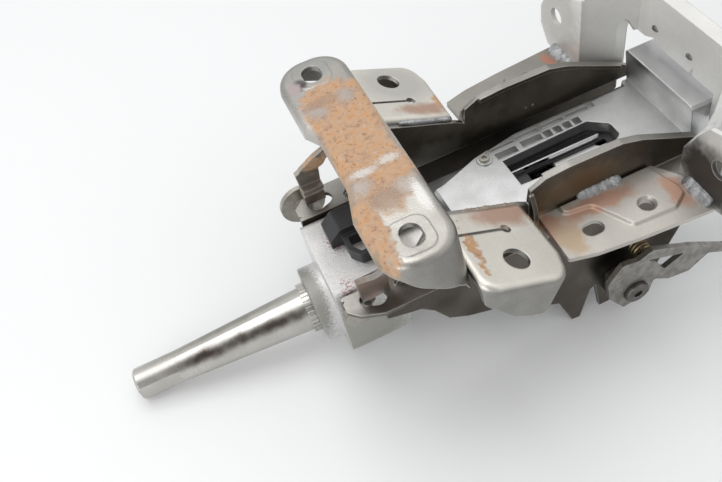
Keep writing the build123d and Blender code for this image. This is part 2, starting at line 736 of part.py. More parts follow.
with BuildPart() as jacket:
    with BuildSketch(cross_plane(jacket_front)):
        with BuildLine():
            Polyline(
                (-jacket_half, -10), (-jacket_half, 24), (-jacket_half + 8, jacket_top),
                (jacket_half - 6, jacket_top), (jacket_half, jacket_top - 6), (jacket_half, -10),
                (16, -jacket_below), (-16, -jacket_below), close=True,
            )
        make_face()
        fillet(vertices().group_by(Axis.Y)[0] + vertices().group_by(Axis.Y)[1], 8)
        fillet(vertices().group_by(Axis.Y)[-1], 2)
    extrude(amount=jacket_rear - jacket_ring - jacket_front)
    with BuildSketch(cross_plane(jacket_rear - jacket_ring)):
        Circle(jacket_half)
    extrude(amount=jacket_ring)
    add(jacket_shoulders.part, mode=Mode.SUBTRACT)
    with BuildSketch(level_plane(jacket_top_z - 30)):
        with Locations((block_front + block_length / 2, 0)):
            Rectangle(block_length, 2 * block_half)
        fillet(vertices(), 2)
    extrude(amount=block_rise + 30)
    chamfer(faces().sort_by(Axis.Z)[-1].edges(), 1.5)
    with BuildSketch(side_plane(-60)):
        with BuildLine():
            Polyline(
                (block_front - 1, jacket_top_z + block_rise + 1),
                (block_front + 1, jacket_top_z + block_rise + 1), (block_front + 4, jacket_top_z),
                (block_front - 1, jacket_top_z), close=True,
            )
        make_face()
    extrude(amount=120, mode=Mode.SUBTRACT)
    with BuildSketch(level_plane(jacket_top_z)):
        with Locations((63.5, 24)):
            Rectangle(63, 11)
    extrude(amount=-shelf_drop, mode=Mode.SUBTRACT)
    with BuildSketch(level_plane(jacket_top_z)):
        with Locations((39.5, 13.6), (54.5, 14.4)):
            Rectangle(*pocket_wide)
        with Locations((41, 20), (56, 21.5), (71, 21.5), (86, 21.5)):
            Rectangle(*pocket_long)
        with Locations((72.7, 14.2)):
            with GridLocations(pocket_pitch, 1, pocket_count, 1):
                Rectangle(*pocket_small)
    extrude(amount=-pocket_depth, mode=Mode.SUBTRACT)
    with BuildSketch(level_plane(jacket_top_z)):
        with Locations(screw_place):
            Circle(boss_r)
    extrude(amount=boss_rise)
    with BuildSketch(level_plane(jacket_top_z - 12)):
        with BuildLine():
            Polyline(
                (slot_front, -slot_half), (slot_front, slot_half), (slot_rear - 9, slot_half + 1.5),
                (slot_rear, slot_half - 6), (slot_rear, -slot_half + 4), (slot_rear - 9, -slot_half - 2),
                close=True,
            )
        make_face()
        fillet(vertices().filter_by_position(Axis.X, slot_rear - 10, slot_rear + 1), 3)
    extrude(amount=20, mode=Mode.SUBTRACT)
    for side in (-1, 1):
        with BuildSketch(side_plane(side * lug_mid - lug_width / 2)):
            with BuildLine():
                Polyline(
                    (clamp_x - 11, -axis_drop - 26.5), (clamp_x + 11, -axis_drop - 26.5),
                    (clamp_x + 9, -clamp_drop - 9), (clamp_x - 9, -clamp_drop - 9), close=True,
                )
            make_face()
            fillet(vertices().group_by(Axis.Y)[0], 6)
            with Locations((clamp_x, -clamp_drop)):
                Circle(clamp_bolt_d / 2 + fit, mode=Mode.SUBTRACT)
        extrude(amount=lug_width)
    with BuildSketch(side_plane(-60)):
        with Locations((clamp_x, -clamp_drop)):
            Circle(clamp_bolt_d / 2 + fit)
    extrude(amount=120, mode=Mode.SUBTRACT)
    with BuildSketch(axis_side):
        with BuildLine():
            Polyline(
                (jacket_front, 0), (jacket_front, lower_tube_d / 2), (jacket_step, lower_tube_d / 2),
                (jacket_step, bore_r), (jacket_rear, bore_r), (jacket_rear, 0), close=True,
            )
        make_face()
    revolve(axis=steering_axis, mode=Mode.SUBTRACT)
    with BuildSketch(level_plane(-axis_drop)):
        with Locations((jacket_front + 55, 0)):
            Rectangle(75, clamp_split)
    extrude(amount=-60, mode=Mode.SUBTRACT)
save(jacket, "jacket")

# Slide sleeve: the black plastic liner between the jacket and the sliding tube
with BuildPart() as slide_sleeve:
    with BuildSketch(cross_plane(jacket_step + 0.5)):
        Circle(bore_r - fit)
        Circle(inner_tube_d / 2 + fit, mode=Mode.SUBTRACT)
    extrude(amount=jacket_rear - 1 - jacket_step)
    with BuildSketch(level_plane(-axis_drop)):
        with BuildLine():
            Polyline(
                (44, -slot_half), (44, 1.5), (slot_rear - 4, 1.5), (slot_rear - 4, -slot_half),
                close=True,
            )
        make_face()
    extrude(amount=60, mode=Mode.SUBTRACT)
save(slide_sleeve, "slide_sleeve")

# Guide rail: a thin bright strip that stands on the sleeve along the jacket's slot
with BuildPart() as guide_rail:
    with BuildSketch(level_plane(-axis_drop + bore_r)):
        with Locations(((slot_front + slot_rear) / 2 - 3, 3)):
            Rectangle(slot_rear - slot_front - 8, 0.9)
    extrude(amount=3.5)
save(guide_rail, "guide_rail")

with BuildPart() as guide_screw:
    with BuildSketch(level_plane(jacket_top_z + boss_rise)):
        with Locations(screw_place):
            Circle(2.7)
            RegularPolygon(1.5, 6, mode=Mode.SUBTRACT)
    extrude(amount=1.6)
save(guide_screw, "guide_screw")

# Inner tube: slides in the jacket and carries the upper bearing
with BuildPart() as inner_tube:
    with BuildSketch(cross_plane(inner_tube_front)):
        Circle(inner_tube_d / 2)
        Circle(inner_tube_d / 2 - inner_tube_wall, mode=Mode.SUBTRACT)
    extrude(amount=inner_tube_rear - inner_tube_front)
    with BuildSketch(level_plane(-axis_drop)):
        with Locations((inner_tube_front + 29, 2)):
            SlotOverall(9, 5)
    extrude(amount=60, mode=Mode.SUBTRACT)
save(inner_tube, "inner_tube")

# Upper bearing in its housing ring, with the same rings and balls as the lower one
upper_bearing_mid = inner_tube_rear - 9.0
tube_bore_r = inner_tube_d / 2 - inner_tube_wall
bearing_back = upper_bearing_mid + bearing_width / 2
with BuildPart() as upper_housing:
    with BuildSketch(axis_side):
        with BuildLine():
            Polyline(
                (inner_tube_rear - 20, tube_bore_r), (inner_tube_rear, tube_bore_r),
                (inner_tube_rear, inner_tube_d / 2), (inner_tube_rear + 3, inner_tube_d / 2 - 1),
                (inner_tube_rear + 3, bearing_d / 2 - 3), (bearing_back, bearing_d / 2 - 3),
                (bearing_back, bearing_d / 2), (inner_tube_rear - 20, bearing_d / 2), close=True,
            )
        make_face()
    revolve(axis=steering_axis)
save(upper_housing, "upper_housing")

upper_bearing_outer = bearing_ring(upper_bearing_mid, bearing_d / 2 - ring_wall, bearing_d / 2)
save(upper_bearing_outer, "upper_bearing_outer")
upper_bearing_inner = bearing_ring(upper_bearing_mid, bearing_bore / 2, bearing_bore / 2 + ring_wall)
save(upper_bearing_inner, "upper_bearing_inner")
upper_bearing_balls = bearing_balls(upper_bearing_mid)
save(upper_bearing_balls, "upper_bearing_balls")

# Upper shaft: a splined socket over the lower shaft, a bearing seat and the steering wheel end
socket_rear = lower_shaft_rear + telescope_travel + 4
wheel_spline_front = upper_shaft_rear - wheel_thread_length - 1 - wheel_spline_length
bearing_land_r = bearing_bore / 2 + 1.4
seat_shoulder = upper_bearing_mid - bearing_width / 2
with BuildPart() as upper_shaft:
    with BuildSketch(axis_side):
        with BuildLine():
            Polyline(
                (upper_shaft_front, 0), (upper_shaft_front, upper_shaft_d / 2),
                (socket_rear + 6, upper_shaft_d / 2), (socket_rear + 12, bearing_land_r),
                (seat_shoulder, bearing_land_r), (seat_shoulder, bearing_bore / 2),
                (wheel_spline_front - 4, bearing_bore / 2), (wheel_spline_front, wheel_spline_d / 2),
                (wheel_spline_front + wheel_spline_length, wheel_spline_d / 2),
                (upper_shaft_rear - wheel_thread_length, wheel_thread_d / 2),
                (upper_shaft_rear - 1, wheel_thread_d / 2),
                (upper_shaft_rear, wheel_thread_d / 2 - 1), (upper_shaft_rear, 0), close=True,
            )
        make_face()
    revolve(axis=steering_axis)
    with BuildSketch(cross_plane(upper_shaft_front)):
        Circle(spline_root_d / 2 + fit)
        with PolarLocations(spline_root_d / 2, spline_count):
            Rectangle(spline_d, spline_tooth + 2 * fit)
        Circle(spline_d / 2 + fit, mode=Mode.INTERSECT)
    extrude(amount=socket_rear - upper_shaft_front, mode=Mode.SUBTRACT)
    with BuildSketch(cross_plane(wheel_spline_front)):
        with PolarLocations(wheel_spline_d / 2, wheel_spline_count):
            RegularPolygon(0.9, 3)
    extrude(amount=wheel_spline_length, mode=Mode.SUBTRACT)
save(upper_shaft, "upper_shaft")

with BuildPart() as upper_snap_ring:
    with BuildSketch(cross_plane(bearing_back)):
        Circle(bearing_bore / 2 + 2)
        Circle(bearing_bore / 2, mode=Mode.SUBTRACT)
        with Locations((0, bearing_bore / 2)):
            Rectangle(5, 6, mode=Mode.SUBTRACT)
    extrude(amount=1.2)
save(upper_snap_ring, "upper_snap_ring")

# Clamp: a bolt across both rails under the jacket, with spacers, a fixed cam, the lever and a nut
lug_side = lug_mid + lug_width / 2
cam_seat = lip_outer + seat_gap
block_thick = 4.0
cam_face = cam_seat + block_thick + seat_gap
cam_thick = 3.0
lever_face = cam_face + cam_thick
lever_thick = 3.0
head_face = lever_face + lever_thick + seat_gap
head_thick = 2.5
head_r = 7.0
key_r = 2.8
key_depth = 2.0
washer_thick = 1.6
nut_thick = 7.0
nut_r = 7.5
washer_r = 8.0
cam_r = 9.0
nut_end = cam_seat + washer_thick + nut_thick


def clamp_plane(y):
    """A plane facing -Y at distance y on the near side, with its origin on the clamp bolt's axis."""
    return Plane(origin=(clamp_x, -y, -clamp_drop), x_dir=(1, 0, 0), z_dir=(0, -1, 0))


def clamp_disc(near_y, depth, radius, sides=0):
    """A disc, or a six-sided nut, on the clamp bolt from near_y outwards on the near side."""
    with BuildPart() as disc:
        with BuildSketch(clamp_plane(near_y)):
            if sides:
                RegularPolygon(radius, sides)
            else:
                Circle(radius)
            Circle(clamp_bolt_d / 2 + fit, mode=Mode.SUBTRACT)
        extrude(amount=depth)
    return disc


with BuildPart() as clamp_bolt:
    with BuildSketch(clamp_plane(-nut_end - 3)):
        Circle(clamp_bolt_d / 2)
    extrude(amount=nut_end + 3 + head_face)
    with BuildSketch(clamp_plane(head_face)):
        Circle(head_r)
    extrude(amount=head_thick)
    fillet(edges().group_by(Axis.Y)[0], head_thick / 2)
    with BuildSketch(clamp_plane(head_face + head_thick)):
        RegularPolygon(key_r, 6)
    extrude(amount=-key_depth, mode=Mode.SUBTRACT)
save(clamp_bolt, "clamp_bolt")
clamp_nut = clamp_disc(-nut_end, nut_thick, nut_r, 6)
save(clamp_nut, "clamp_nut")
clamp_washer = clamp_disc(-cam_seat - washer_thick, washer_thick, washer_r)
save(clamp_washer, "clamp_washer")
spacer_length = lip_outer - sheet - seat_gap - lug_side
near_spacer = clamp_disc(lug_side, spacer_length, washer_r)
with BuildPart() as clamp_spacers:
    add(near_spacer.part)
    mirror(near_spacer.part, about=Plane.XZ)
save(clamp_spacers, "clamp_spacers")

with BuildPart() as clamp_block:
    with BuildSketch(clamp_plane(cam_seat)):
        with BuildLine():
            Polyline((-13, 12), (0, 17), (9, 9), (10, -8), (-6, -11), (-13, -2), close=True)
        make_face()
        fillet(vertices(), 2)
        Circle(clamp_bolt_d / 2 + fit, mode=Mode.SUBTRACT)
    extrude(amount=block_thick)
save(clamp_block, "clamp_block")

moving_cam = clamp_disc(cam_face, cam_thick, cam_r)
save(moving_cam, "moving_cam")

# Lever: a stamped plate with an angular hub, a window and a long arm
with BuildPart() as lever:
    with BuildSketch(clamp_plane(lever_face)):
        with BuildLine():
            Polyline(
                (-10, 29), (-1, 27), (7, 31), (32, 18), (55, 3), (74, -6), (lever_length, -24),
                (lever_length + 2, -33), (74, -15), (57, -4), (45, 3), (34, -6), (21, -4), (11, 3),
                (9, -8), (-6, -12), (-16, 3), (-18, 17), (-15, 22), close=True,
            )
        make_face()
        fillet(vertices(), 1.5)
        Circle(clamp_bolt_d / 2 + fit, mode=Mode.SUBTRACT)
        with BuildLine():
            Polyline((5, 24), (28, 14.5), (17, 8), close=True)
        make_face(mode=Mode.SUBTRACT)
    extrude(amount=lever_thick)
save(lever, "lever")

grip_front = 84.0
grip_wall = 4.0
with BuildPart() as lever_grip:
    with BuildSketch(clamp_plane(lever_face - grip_wall)):
        with BuildLine():
            Polyline(
                (grip_front, -4), (lever_length + 3, -18), (lever_length + 6, -28), (lever_length + 2, -38),
                (grip_front - 3, -24), close=True,
            )
        make_face()
        fillet(vertices(), 4)
    extrude(amount=lever_thick + 2 * grip_wall)
    chamfer(faces().sort_by(Axis.Y)[-1].edges() + faces().sort_by(Axis.Y)[0].edges(), 1.5)
    add(lever.part, mode=Mode.SUBTRACT)
save(lever_grip, "lever_grip")

# Return spring: a small coil behind the lever's upper hook
coil_r = 4.2
coil_pitch = 1.9
wire_r = 0.7
spring_place = (4.0, 27.0)
with BuildPart() as return_spring:
    with BuildLine():
        turns = Helix(
            coil_pitch, 3 * coil_pitch, coil_r,
            center=(clamp_x + spring_place[0], wire_r + 0.1 - lever_face, spring_place[1] - clamp_drop),
            direction=(0, 1, 0),
        )
    with BuildSketch(Plane(origin=turns @ 0, z_dir=turns % 0)):
        Circle(wire_r)
    sweep()
save(return_spring, "return_spring")

# Cable guide: a black moulded hook on top of the lower casting
with BuildPart() as cable_guide:
    with BuildSketch(Plane(origin=(0, 16, 0), x_dir=(1, 0, 0), z_dir=(0, -1, 0))):
        with BuildLine():
            Polyline(
                (-64, -step_top), (-64, -step_top + 5), (-58, -step_top + 11), (-48, -step_top + 11),
                (-44, -step_top + 6), (-44, -step_top), close=True,
            )
        make_face()
        fillet(vertices().group_by(Axis.Y)[-1] + vertices().group_by(Axis.Y)[-2], 2)
    extrude(amount=14)
    with BuildSketch(level_plane(-step_top)):
        with BuildLine():
            Polyline((-58, 2), (-58, -8), (-54, -14), (-47, -14), (-44, -8), (-44, 2), close=True)
        make_face()
        fillet(vertices().group_by(Axis.Y)[0], 3)
        offset(amount=-2.5, mode=Mode.SUBTRACT)
    extrude(amount=7)
save(cable_guide, "cable_guide")


def weld(corner, along, across, length, leg):
    """A fillet weld whose square corner runs from corner in direction along."""
    with BuildPart() as bead:
        with BuildSketch(Plane(origin=corner, x_dir=across, z_dir=along)):
            with BuildLine():
                Polyline((0, leg), (0, 0), (leg, 0))
                ThreePointArc((leg, 0), (leg * 0.62, leg * 0.62), (0, leg))
            make_face()
        extrude(amount=length)
    return bead


# Weld beads: along the gussets, the ears and the rear bracket, the same on both sides
rib_top = -step_top + gusset_sheet + rib_rise
weld_leg = 4.0
seam_weld = 31.0
near_welds = [
    weld((rib_front + 10, -rail_outer, rib_top), (1, 0, 0), (0, 0, 1), 24, weld_leg),
    weld((rear_ear_x, -49, -step_top + gusset_sheet), (0, -1, 0), (0, 0, 1), 19, weld_leg),
    weld(
        (seam_rear - 1, -rail_outer, seam_height(seam_rear - 1)), (-slope_cos, 0, slope_sin),
        (slope_sin, 0, slope_cos), seam_weld, seam_drop,
    ),
]
with BuildPart() as weld_beads:
    for bead in near_welds:
        add(bead.part)
        mirror(bead.part, about=Plane.XZ)
save(weld_beads, "weld_beads")
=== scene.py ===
# %% [markdown]
# This lesson dresses a steering column that was built in CAD. The column hangs in a welded steel
# frame, so almost everything here is metal, and each metal has its own history: pressed plate with
# light rust, dark rail steel, die-cast aluminium, a turned shaft and bright welds. The shapes are
# already right, so the CAD pieces stay, and each one gets a material made of noise and masks.

# %% Load the column
import math
import random

import bmesh
import bpy
from mathutils import Matrix, Vector


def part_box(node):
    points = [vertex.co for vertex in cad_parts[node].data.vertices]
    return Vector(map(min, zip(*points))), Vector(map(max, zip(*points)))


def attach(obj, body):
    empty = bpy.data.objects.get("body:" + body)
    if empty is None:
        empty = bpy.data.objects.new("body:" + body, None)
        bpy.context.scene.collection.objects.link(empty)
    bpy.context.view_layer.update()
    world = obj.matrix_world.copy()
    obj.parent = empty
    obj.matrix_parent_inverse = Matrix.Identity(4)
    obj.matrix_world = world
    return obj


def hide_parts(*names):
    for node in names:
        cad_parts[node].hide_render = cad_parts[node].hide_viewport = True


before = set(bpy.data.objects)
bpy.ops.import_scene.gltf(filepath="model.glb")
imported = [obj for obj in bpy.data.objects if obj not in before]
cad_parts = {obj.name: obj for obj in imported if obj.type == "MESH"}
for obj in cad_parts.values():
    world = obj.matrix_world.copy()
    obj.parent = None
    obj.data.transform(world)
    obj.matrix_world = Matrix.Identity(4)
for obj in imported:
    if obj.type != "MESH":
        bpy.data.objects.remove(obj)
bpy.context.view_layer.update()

# %% [markdown]
# The camera comes first, because every later choice is judged through it. The picture was taken
# from above the shaft's side, so the camera is given by three directions: right, up and back. A
# matrix whose columns are those directions and the place puts the camera there in one line.

# %% The camera
picture_width = 722
focal_px = 780.0
sensor_mm = 36.0
camera_place = Vector((-0.0935, -0.2386, 0.2705))
camera_right = Vector((0.9064, -0.3850, -0.1737))
camera_up = Vector((0.4068, 0.6853, 0.6040))
camera_back = Vector((-0.1135, -0.6181, 0.7778))
camera_data = bpy.data.cameras.new("photo_camera")
camera_data.sensor_width = sensor_mm
camera_data.lens = focal_px / picture_width * sensor_mm
camera_data.clip_start = 0.01
camera = bpy.data.objects.new("photo_camera", camera_data)
camera.matrix_world = Matrix.Translation(camera_place) @ Matrix(
    (camera_right, camera_up, camera_back)
).transposed().to_4x4()
bpy.context.collection.objects.link(camera)
bpy.context.scene.camera = camera
bpy.context.scene.view_settings.view_transform = "Standard"
print("lens of", round(camera_data.lens, 1), "mm")

# %% [markdown]
# Node trees are easier to read when a node, its settings and its wires are made in one call. The
# helper put adds a node and fills its inputs by name: a plain value is typed in, and a socket of
# another node is linked.


# %% Helpers for nodes
def feed(tree, socket, value):
    """Link value to socket if it is a socket too, or else type it in."""
    if isinstance(value, bpy.types.NodeSocket):
        tree.links.new(value, socket)
    else:
        socket.default_value = value


def put(tree, kind, inputs=None, **settings):
    """Add a node, set its properties and fill its inputs with values or links."""
    node = tree.nodes.new(kind)
    for name, value in settings.items():
        setattr(node, name, value)
    for name, value in (inputs or {}).items():
        feed(tree, node.inputs[name], value)
    return node


def math_node(tree, operation, a, b=0.0, clamp=False):
    """One Math node; its result is returned as a socket."""
    node = put(tree, "ShaderNodeMath", {0: a, 1: b}, operation=operation, use_clamp=clamp)
    return node.outputs[0]


def blend(tree, amount, first, second):
    """A colour mixed from first to second by amount."""
    return put(tree, "ShaderNodeMix", {0: amount, 6: first, 7: second}, data_type="RGBA").outputs[2]


def ramp(tree, value, low, high, to_low=0.0, to_high=1.0):
    """A value moved from one range to another with soft ends."""
    node = put(
        tree, "ShaderNodeMapRange",
        {"Value": value, "From Min": low, "From Max": high, "To Min": to_low, "To Max": to_high},
        interpolation_type="SMOOTHSTEP",
    )
    return node.outputs[0]


def new_group(name, inputs, outputs):
    """A shader node group with named sockets; gives its tree, input node and output node."""
    tree = bpy.data.node_groups.new(name, "ShaderNodeTree")
    kinds = {"v": "NodeSocketVector", "f": "NodeSocketFloat", "c": "NodeSocketColor"}
    for label, kind, value in inputs:
        socket = tree.interface.new_socket(label, in_out="INPUT", socket_type=kinds[kind])
        if value is not None:
            socket.default_value = value
    for label, kind in outputs:
        tree.interface.new_socket(label, in_out="OUTPUT", socket_type=kinds[kind])
    return tree, tree.nodes.new("NodeGroupInput"), tree.nodes.new("NodeGroupOutput")


def use_group(tree, group, **inputs):
    """Place a node group in a material; input names are written with _ for a space."""
    node = put(tree, "ShaderNodeGroup", node_tree=group)
    for name, value in inputs.items():
        feed(tree, node.inputs[name.replace("_", " ")], value)
    return node


# %% [markdown]
# Real finishes are uneven in big clouds and in small grains at once. Two noises of different size
# added together give that, so this is the group that almost every material starts from.

# %% Group: mottle
mottle_tree, mottle_in, mottle_out = new_group(
    "mottle",
    [
        ("Vector", "v", None), ("Cloud size", "f", 60.0), ("Grain size", "f", 900.0),
        ("Grain share", "f", 0.3),
    ],
    [("Value", "f"), ("Grain", "f")],
)
cloud = put(
    mottle_tree, "ShaderNodeTexNoise",
    {
        "Vector": mottle_in.outputs["Vector"], "Scale": mottle_in.outputs["Cloud size"],
        "Detail": 4.0,
    },
)
grain = put(
    mottle_tree, "ShaderNodeTexNoise",
    {
        "Vector": mottle_in.outputs["Vector"], "Scale": mottle_in.outputs["Grain size"],
        "Detail": 3.0,
    },
)
cloud_value = ramp(mottle_tree, cloud.outputs[0], 0.3, 0.7)
grain_value = ramp(mottle_tree, grain.outputs[0], 0.3, 0.7)
grain_part = math_node(mottle_tree, "MULTIPLY", grain_value, mottle_in.outputs["Grain share"])
cloud_share = math_node(mottle_tree, "SUBTRACT", 1.0, mottle_in.outputs["Grain share"])
cloud_part = math_node(mottle_tree, "MULTIPLY", cloud_value, cloud_share)
mottle_value = math_node(mottle_tree, "ADD", cloud_part, grain_part)
mottle_tree.links.new(mottle_value, mottle_out.inputs["Value"])
mottle_tree.links.new(grain_value, mottle_out.inputs["Grain"])
print("the mottle group has", len(mottle_tree.nodes), "nodes")

# %% [markdown]
# Rust, heat tint and weld spots each sit in one place on a piece, and so do the patches of painted
# shade and painted highlight. A patch is a soft ball of influence round a centre, stretched by
# three reaches and broken up by noise so that its border looks eaten and not drawn.

# %% Group: patch
patch_tree, patch_in, patch_out = new_group(
    "patch",
    [
        ("Vector", "v", None), ("Centre", "v", (0, 0, 0)), ("Reach", "v", (0.01, 0.01, 0.01)),
        ("Softness", "f", 0.3), ("Ragged", "f", 0.6), ("Noise size", "f", 150.0),
    ],
    [("Mask", "f")],
)
offset_node = put(
    patch_tree, "ShaderNodeVectorMath",
    {0: patch_in.outputs["Vector"], 1: patch_in.outputs["Centre"]}, operation="SUBTRACT",
)
scaled = put(
    patch_tree, "ShaderNodeVectorMath",
    {0: offset_node.outputs[0], 1: patch_in.outputs["Reach"]}, operation="DIVIDE",
)
distance = put(patch_tree, "ShaderNodeVectorMath", {0: scaled.outputs[0]}, operation="LENGTH")
edge_noise = put(
    patch_tree, "ShaderNodeTexNoise",
    {"Vector": patch_in.outputs["Vector"], "Scale": patch_in.outputs["Noise size"], "Detail": 5.0},
)
centred = math_node(patch_tree, "SUBTRACT", edge_noise.outputs[0], 0.5)
ragged = math_node(patch_tree, "MULTIPLY", centred, patch_in.outputs["Ragged"])
ragged_twice = math_node(patch_tree, "MULTIPLY", ragged, 2.0)
eaten = math_node(patch_tree, "ADD", distance.outputs["Value"], ragged_twice)
inner_limit = math_node(patch_tree, "SUBTRACT", 1.0, patch_in.outputs["Softness"])
mask = put(
    patch_tree, "ShaderNodeMapRange",
    {"Value": eaten, "From Min": inner_limit, "From Max": 1.0, "To Min": 1.0, "To Max": 0.0},
    interpolation_type="SMOOTHSTEP",
)
patch_tree.links.new(mask.outputs[0], patch_out.inputs["Mask"])
print("the patch group has", len(patch_tree.nodes), "nodes")

# %% [markdown]
# Materials ask for a patch very often, so one short function places the group and hands back its
# mask.


# %% Placing a patch
def patch(tree, place, centre, reach, ragged_by, softness, noise_size):
    """The mask of one patch in a material, as a socket."""
    return use_group(
        tree, patch_tree, Vector=place, Centre=centre, Reach=reach, Softness=softness,
        Ragged=ragged_by, Noise_size=noise_size,
    ).outputs["Mask"]


# %% [markdown]
# Pressed plate is never sharp. The Bevel node looks at the neighbourhood of each point and gives
# the normal that a small rounding would have. Where that normal leans away from the true one
# there is an edge, and edges are where handling polishes the metal bright.

# %% Group: soft edge
edge_tree, edge_in, edge_out = new_group(
    "soft edge", [("Radius", "f", 0.0006), ("Strength", "f", 6.0)], [("Edge", "f"), ("Normal", "v")]
)
bevel = put(edge_tree, "ShaderNodeBevel", {"Radius": edge_in.outputs["Radius"]}, samples=4)
geometry = put(edge_tree, "ShaderNodeNewGeometry")
leaning = put(
    edge_tree, "ShaderNodeVectorMath", {0: bevel.outputs[0], 1: geometry.outputs["Normal"]},
    operation="DOT_PRODUCT",
)
lean = math_node(edge_tree, "SUBTRACT", 1.0, leaning.outputs["Value"])
edge_value = math_node(edge_tree, "MULTIPLY", lean, edge_in.outputs["Strength"], clamp=True)
edge_tree.links.new(edge_value, edge_out.inputs["Edge"])
edge_tree.links.new(bevel.outputs[0], edge_out.inputs["Normal"])
print("the soft edge group has", len(edge_tree.nodes), "nodes")

# %% [markdown]
# Plate that lies flat faces the light, and its bent-down walls are painted darker, as shade.
# The object's own normal tells the two apart, and it stays right when the piece moves.

# %% Group: wall shade
wall_shade_tree, wall_shade_in, wall_shade_out = new_group(
    "wall", [("Level from", "f", 0.35), ("Level to", "f", 0.85)], [("Mask", "f")]
)
wall_normal = put(wall_shade_tree, "ShaderNodeTexCoord").outputs["Normal"]
upward = put(wall_shade_tree, "ShaderNodeSeparateXYZ", {"Vector": wall_normal}).outputs["Z"]
wall_shade_tree.links.new(
    ramp(wall_shade_tree, upward, wall_shade_in.outputs["Level from"], wall_shade_in.outputs["Level to"], 1.0, 0.0),
    wall_shade_out.inputs["Mask"],
)
print("the wall group has", len(wall_shade_tree.nodes), "nodes")

# %% [markdown]
# Light surface rust is not one orange. It goes from tan through orange to a dark brown core, with
# fine dark specks and worn pale ones, it is rough, and it stands a little proud of the steel. The
# group gives all three so that a material can lay them over its bare metal by one mask.

# %% Group: rust
rust_tree, rust_in, rust_out = new_group(
    "rust", [("Vector", "v", None), ("Scale", "f", 120.0)],
    [("Color", "c"), ("Roughness", "f"), ("Height", "f")],
)
rust_cloud = put(
    rust_tree, "ShaderNodeTexNoise",
    {
        "Vector": rust_in.outputs["Vector"], "Scale": rust_in.outputs["Scale"], "Detail": 8.0,
        "Roughness": 0.62,
    },
)
rust_colours = put(rust_tree, "ShaderNodeValToRGB", {"Fac": rust_cloud.outputs[0]})
rust_stops = [
    (0.20, (0.20, 0.11, 0.065, 1)),
    (0.36, (0.42, 0.25, 0.155, 1)),
    (0.50, (0.53, 0.345, 0.215, 1)),
    (0.62, (0.56, 0.31, 0.155, 1)),
    (0.78, (0.52, 0.42, 0.31, 1)),
]
rust_ramp = rust_colours.color_ramp
while len(rust_ramp.elements) < len(rust_stops):
    rust_ramp.elements.new(0.5)
for element, (place, colour) in zip(rust_ramp.elements, rust_stops):
    element.position = place
    element.color = colour
rust_specks = put(
    rust_tree, "ShaderNodeTexNoise",
    {"Vector": rust_in.outputs["Vector"], "Scale": 520.0, "Detail": 5.0, "Roughness": 0.6},
).outputs[0]
dark_specks = ramp(rust_tree, rust_specks, 0.54, 0.70, 0.0, 0.75)
worn_specks = ramp(rust_tree, rust_specks, 0.42, 0.30, 0.0, 0.7)
speckled = blend(rust_tree, dark_specks, rust_colours.outputs[0], (0.27, 0.135, 0.07, 1))
worn = blend(rust_tree, worn_specks, speckled, (0.52, 0.47, 0.41, 1))
rust_roughness = ramp(rust_tree, rust_cloud.outputs[0], 0.3, 0.7, 0.55, 0.8)
rust_tree.links.new(worn, rust_out.inputs["Color"])
rust_tree.links.new(rust_roughness, rust_out.inputs["Roughness"])
rust_tree.links.new(rust_cloud.outputs[0], rust_out.inputs["Height"])
print("the rust group runs through", len(rust_stops), "colours")

# %% [markdown]
# Every material below begins alike: the object's own coordinates, which stay put when the piece
# moves, and the Principled shader. Putting that start in a small function leaves the rest of each
# material free to say only what is special about it.


# %% The start and end of a material
def begin(name):
    """A new material; gives its tree, its shader and its coordinate socket."""
    made = bpy.data.materials.new(name)
    made.use_nodes = True
    tree = made.node_tree
    place = put(tree, "ShaderNodeTexCoord").outputs["Object"]
    return made, tree, tree.nodes["Principled BSDF"], place


def finish_surface(tree, shader, colour, roughness, height, bump, normal, metallic):
    """Wire the colour, roughness, metal share and bump of a material to its shader."""
    bumped = put(
        tree, "ShaderNodeBump",
        {"Height": height, "Normal": normal, "Distance": bump, "Strength": 1.0},
    )
    feed(tree, shader.inputs["Base Color"], colour)
    feed(tree, shader.inputs["Roughness"], roughness)
    feed(tree, shader.inputs["Metallic"], metallic)
    feed(tree, shader.inputs["Normal"], bumped.outputs[0])


# %% [markdown]
# Pressed steel is the frame's own metal: grey with a warm cast, cloudy, with fine grain and bright
# edges, and with painted shade on the bent-down walls. Rust patches, heat tints and spots rubbed
# bare are listed by place and reach, together with some painted shade and painted highlights, so
# one function can make the clean rear bracket as well as the rusty bridge.

# %% Pressed steel
tint_edge = {"softness": 0.6, "noise_size": 130.0}
rust_edge = {"softness": 0.3, "noise_size": 230.0}
bare_and_highlight_edge = {"softness": 0.5, "noise_size": 1500.0}
polished = (0.78, 0.76, 0.73, 1)
plate_bump = 0.00012


def rust_cover(tree, place, rust, bare_and_highlight_masks, edge):
    """The share of rust at each point: its patches, less bare spots and polished edges."""
    cover = 0.0
    for centre, reach, ragged_by in rust:
        spot = patch(tree, place, centre, reach, ragged_by, **rust_edge)
        cover = math_node(tree, "MAXIMUM", cover, spot)
    for bare_and_highlight_mask in bare_and_highlight_masks:
        cover = math_node(tree, "MULTIPLY", cover, math_node(tree, "SUBTRACT", 1.0, bare_and_highlight_mask))
    polish = math_node(tree, "MULTIPLY", edge, 0.7)
    return math_node(tree, "MULTIPLY", cover, math_node(tree, "SUBTRACT", 1.0, polish))


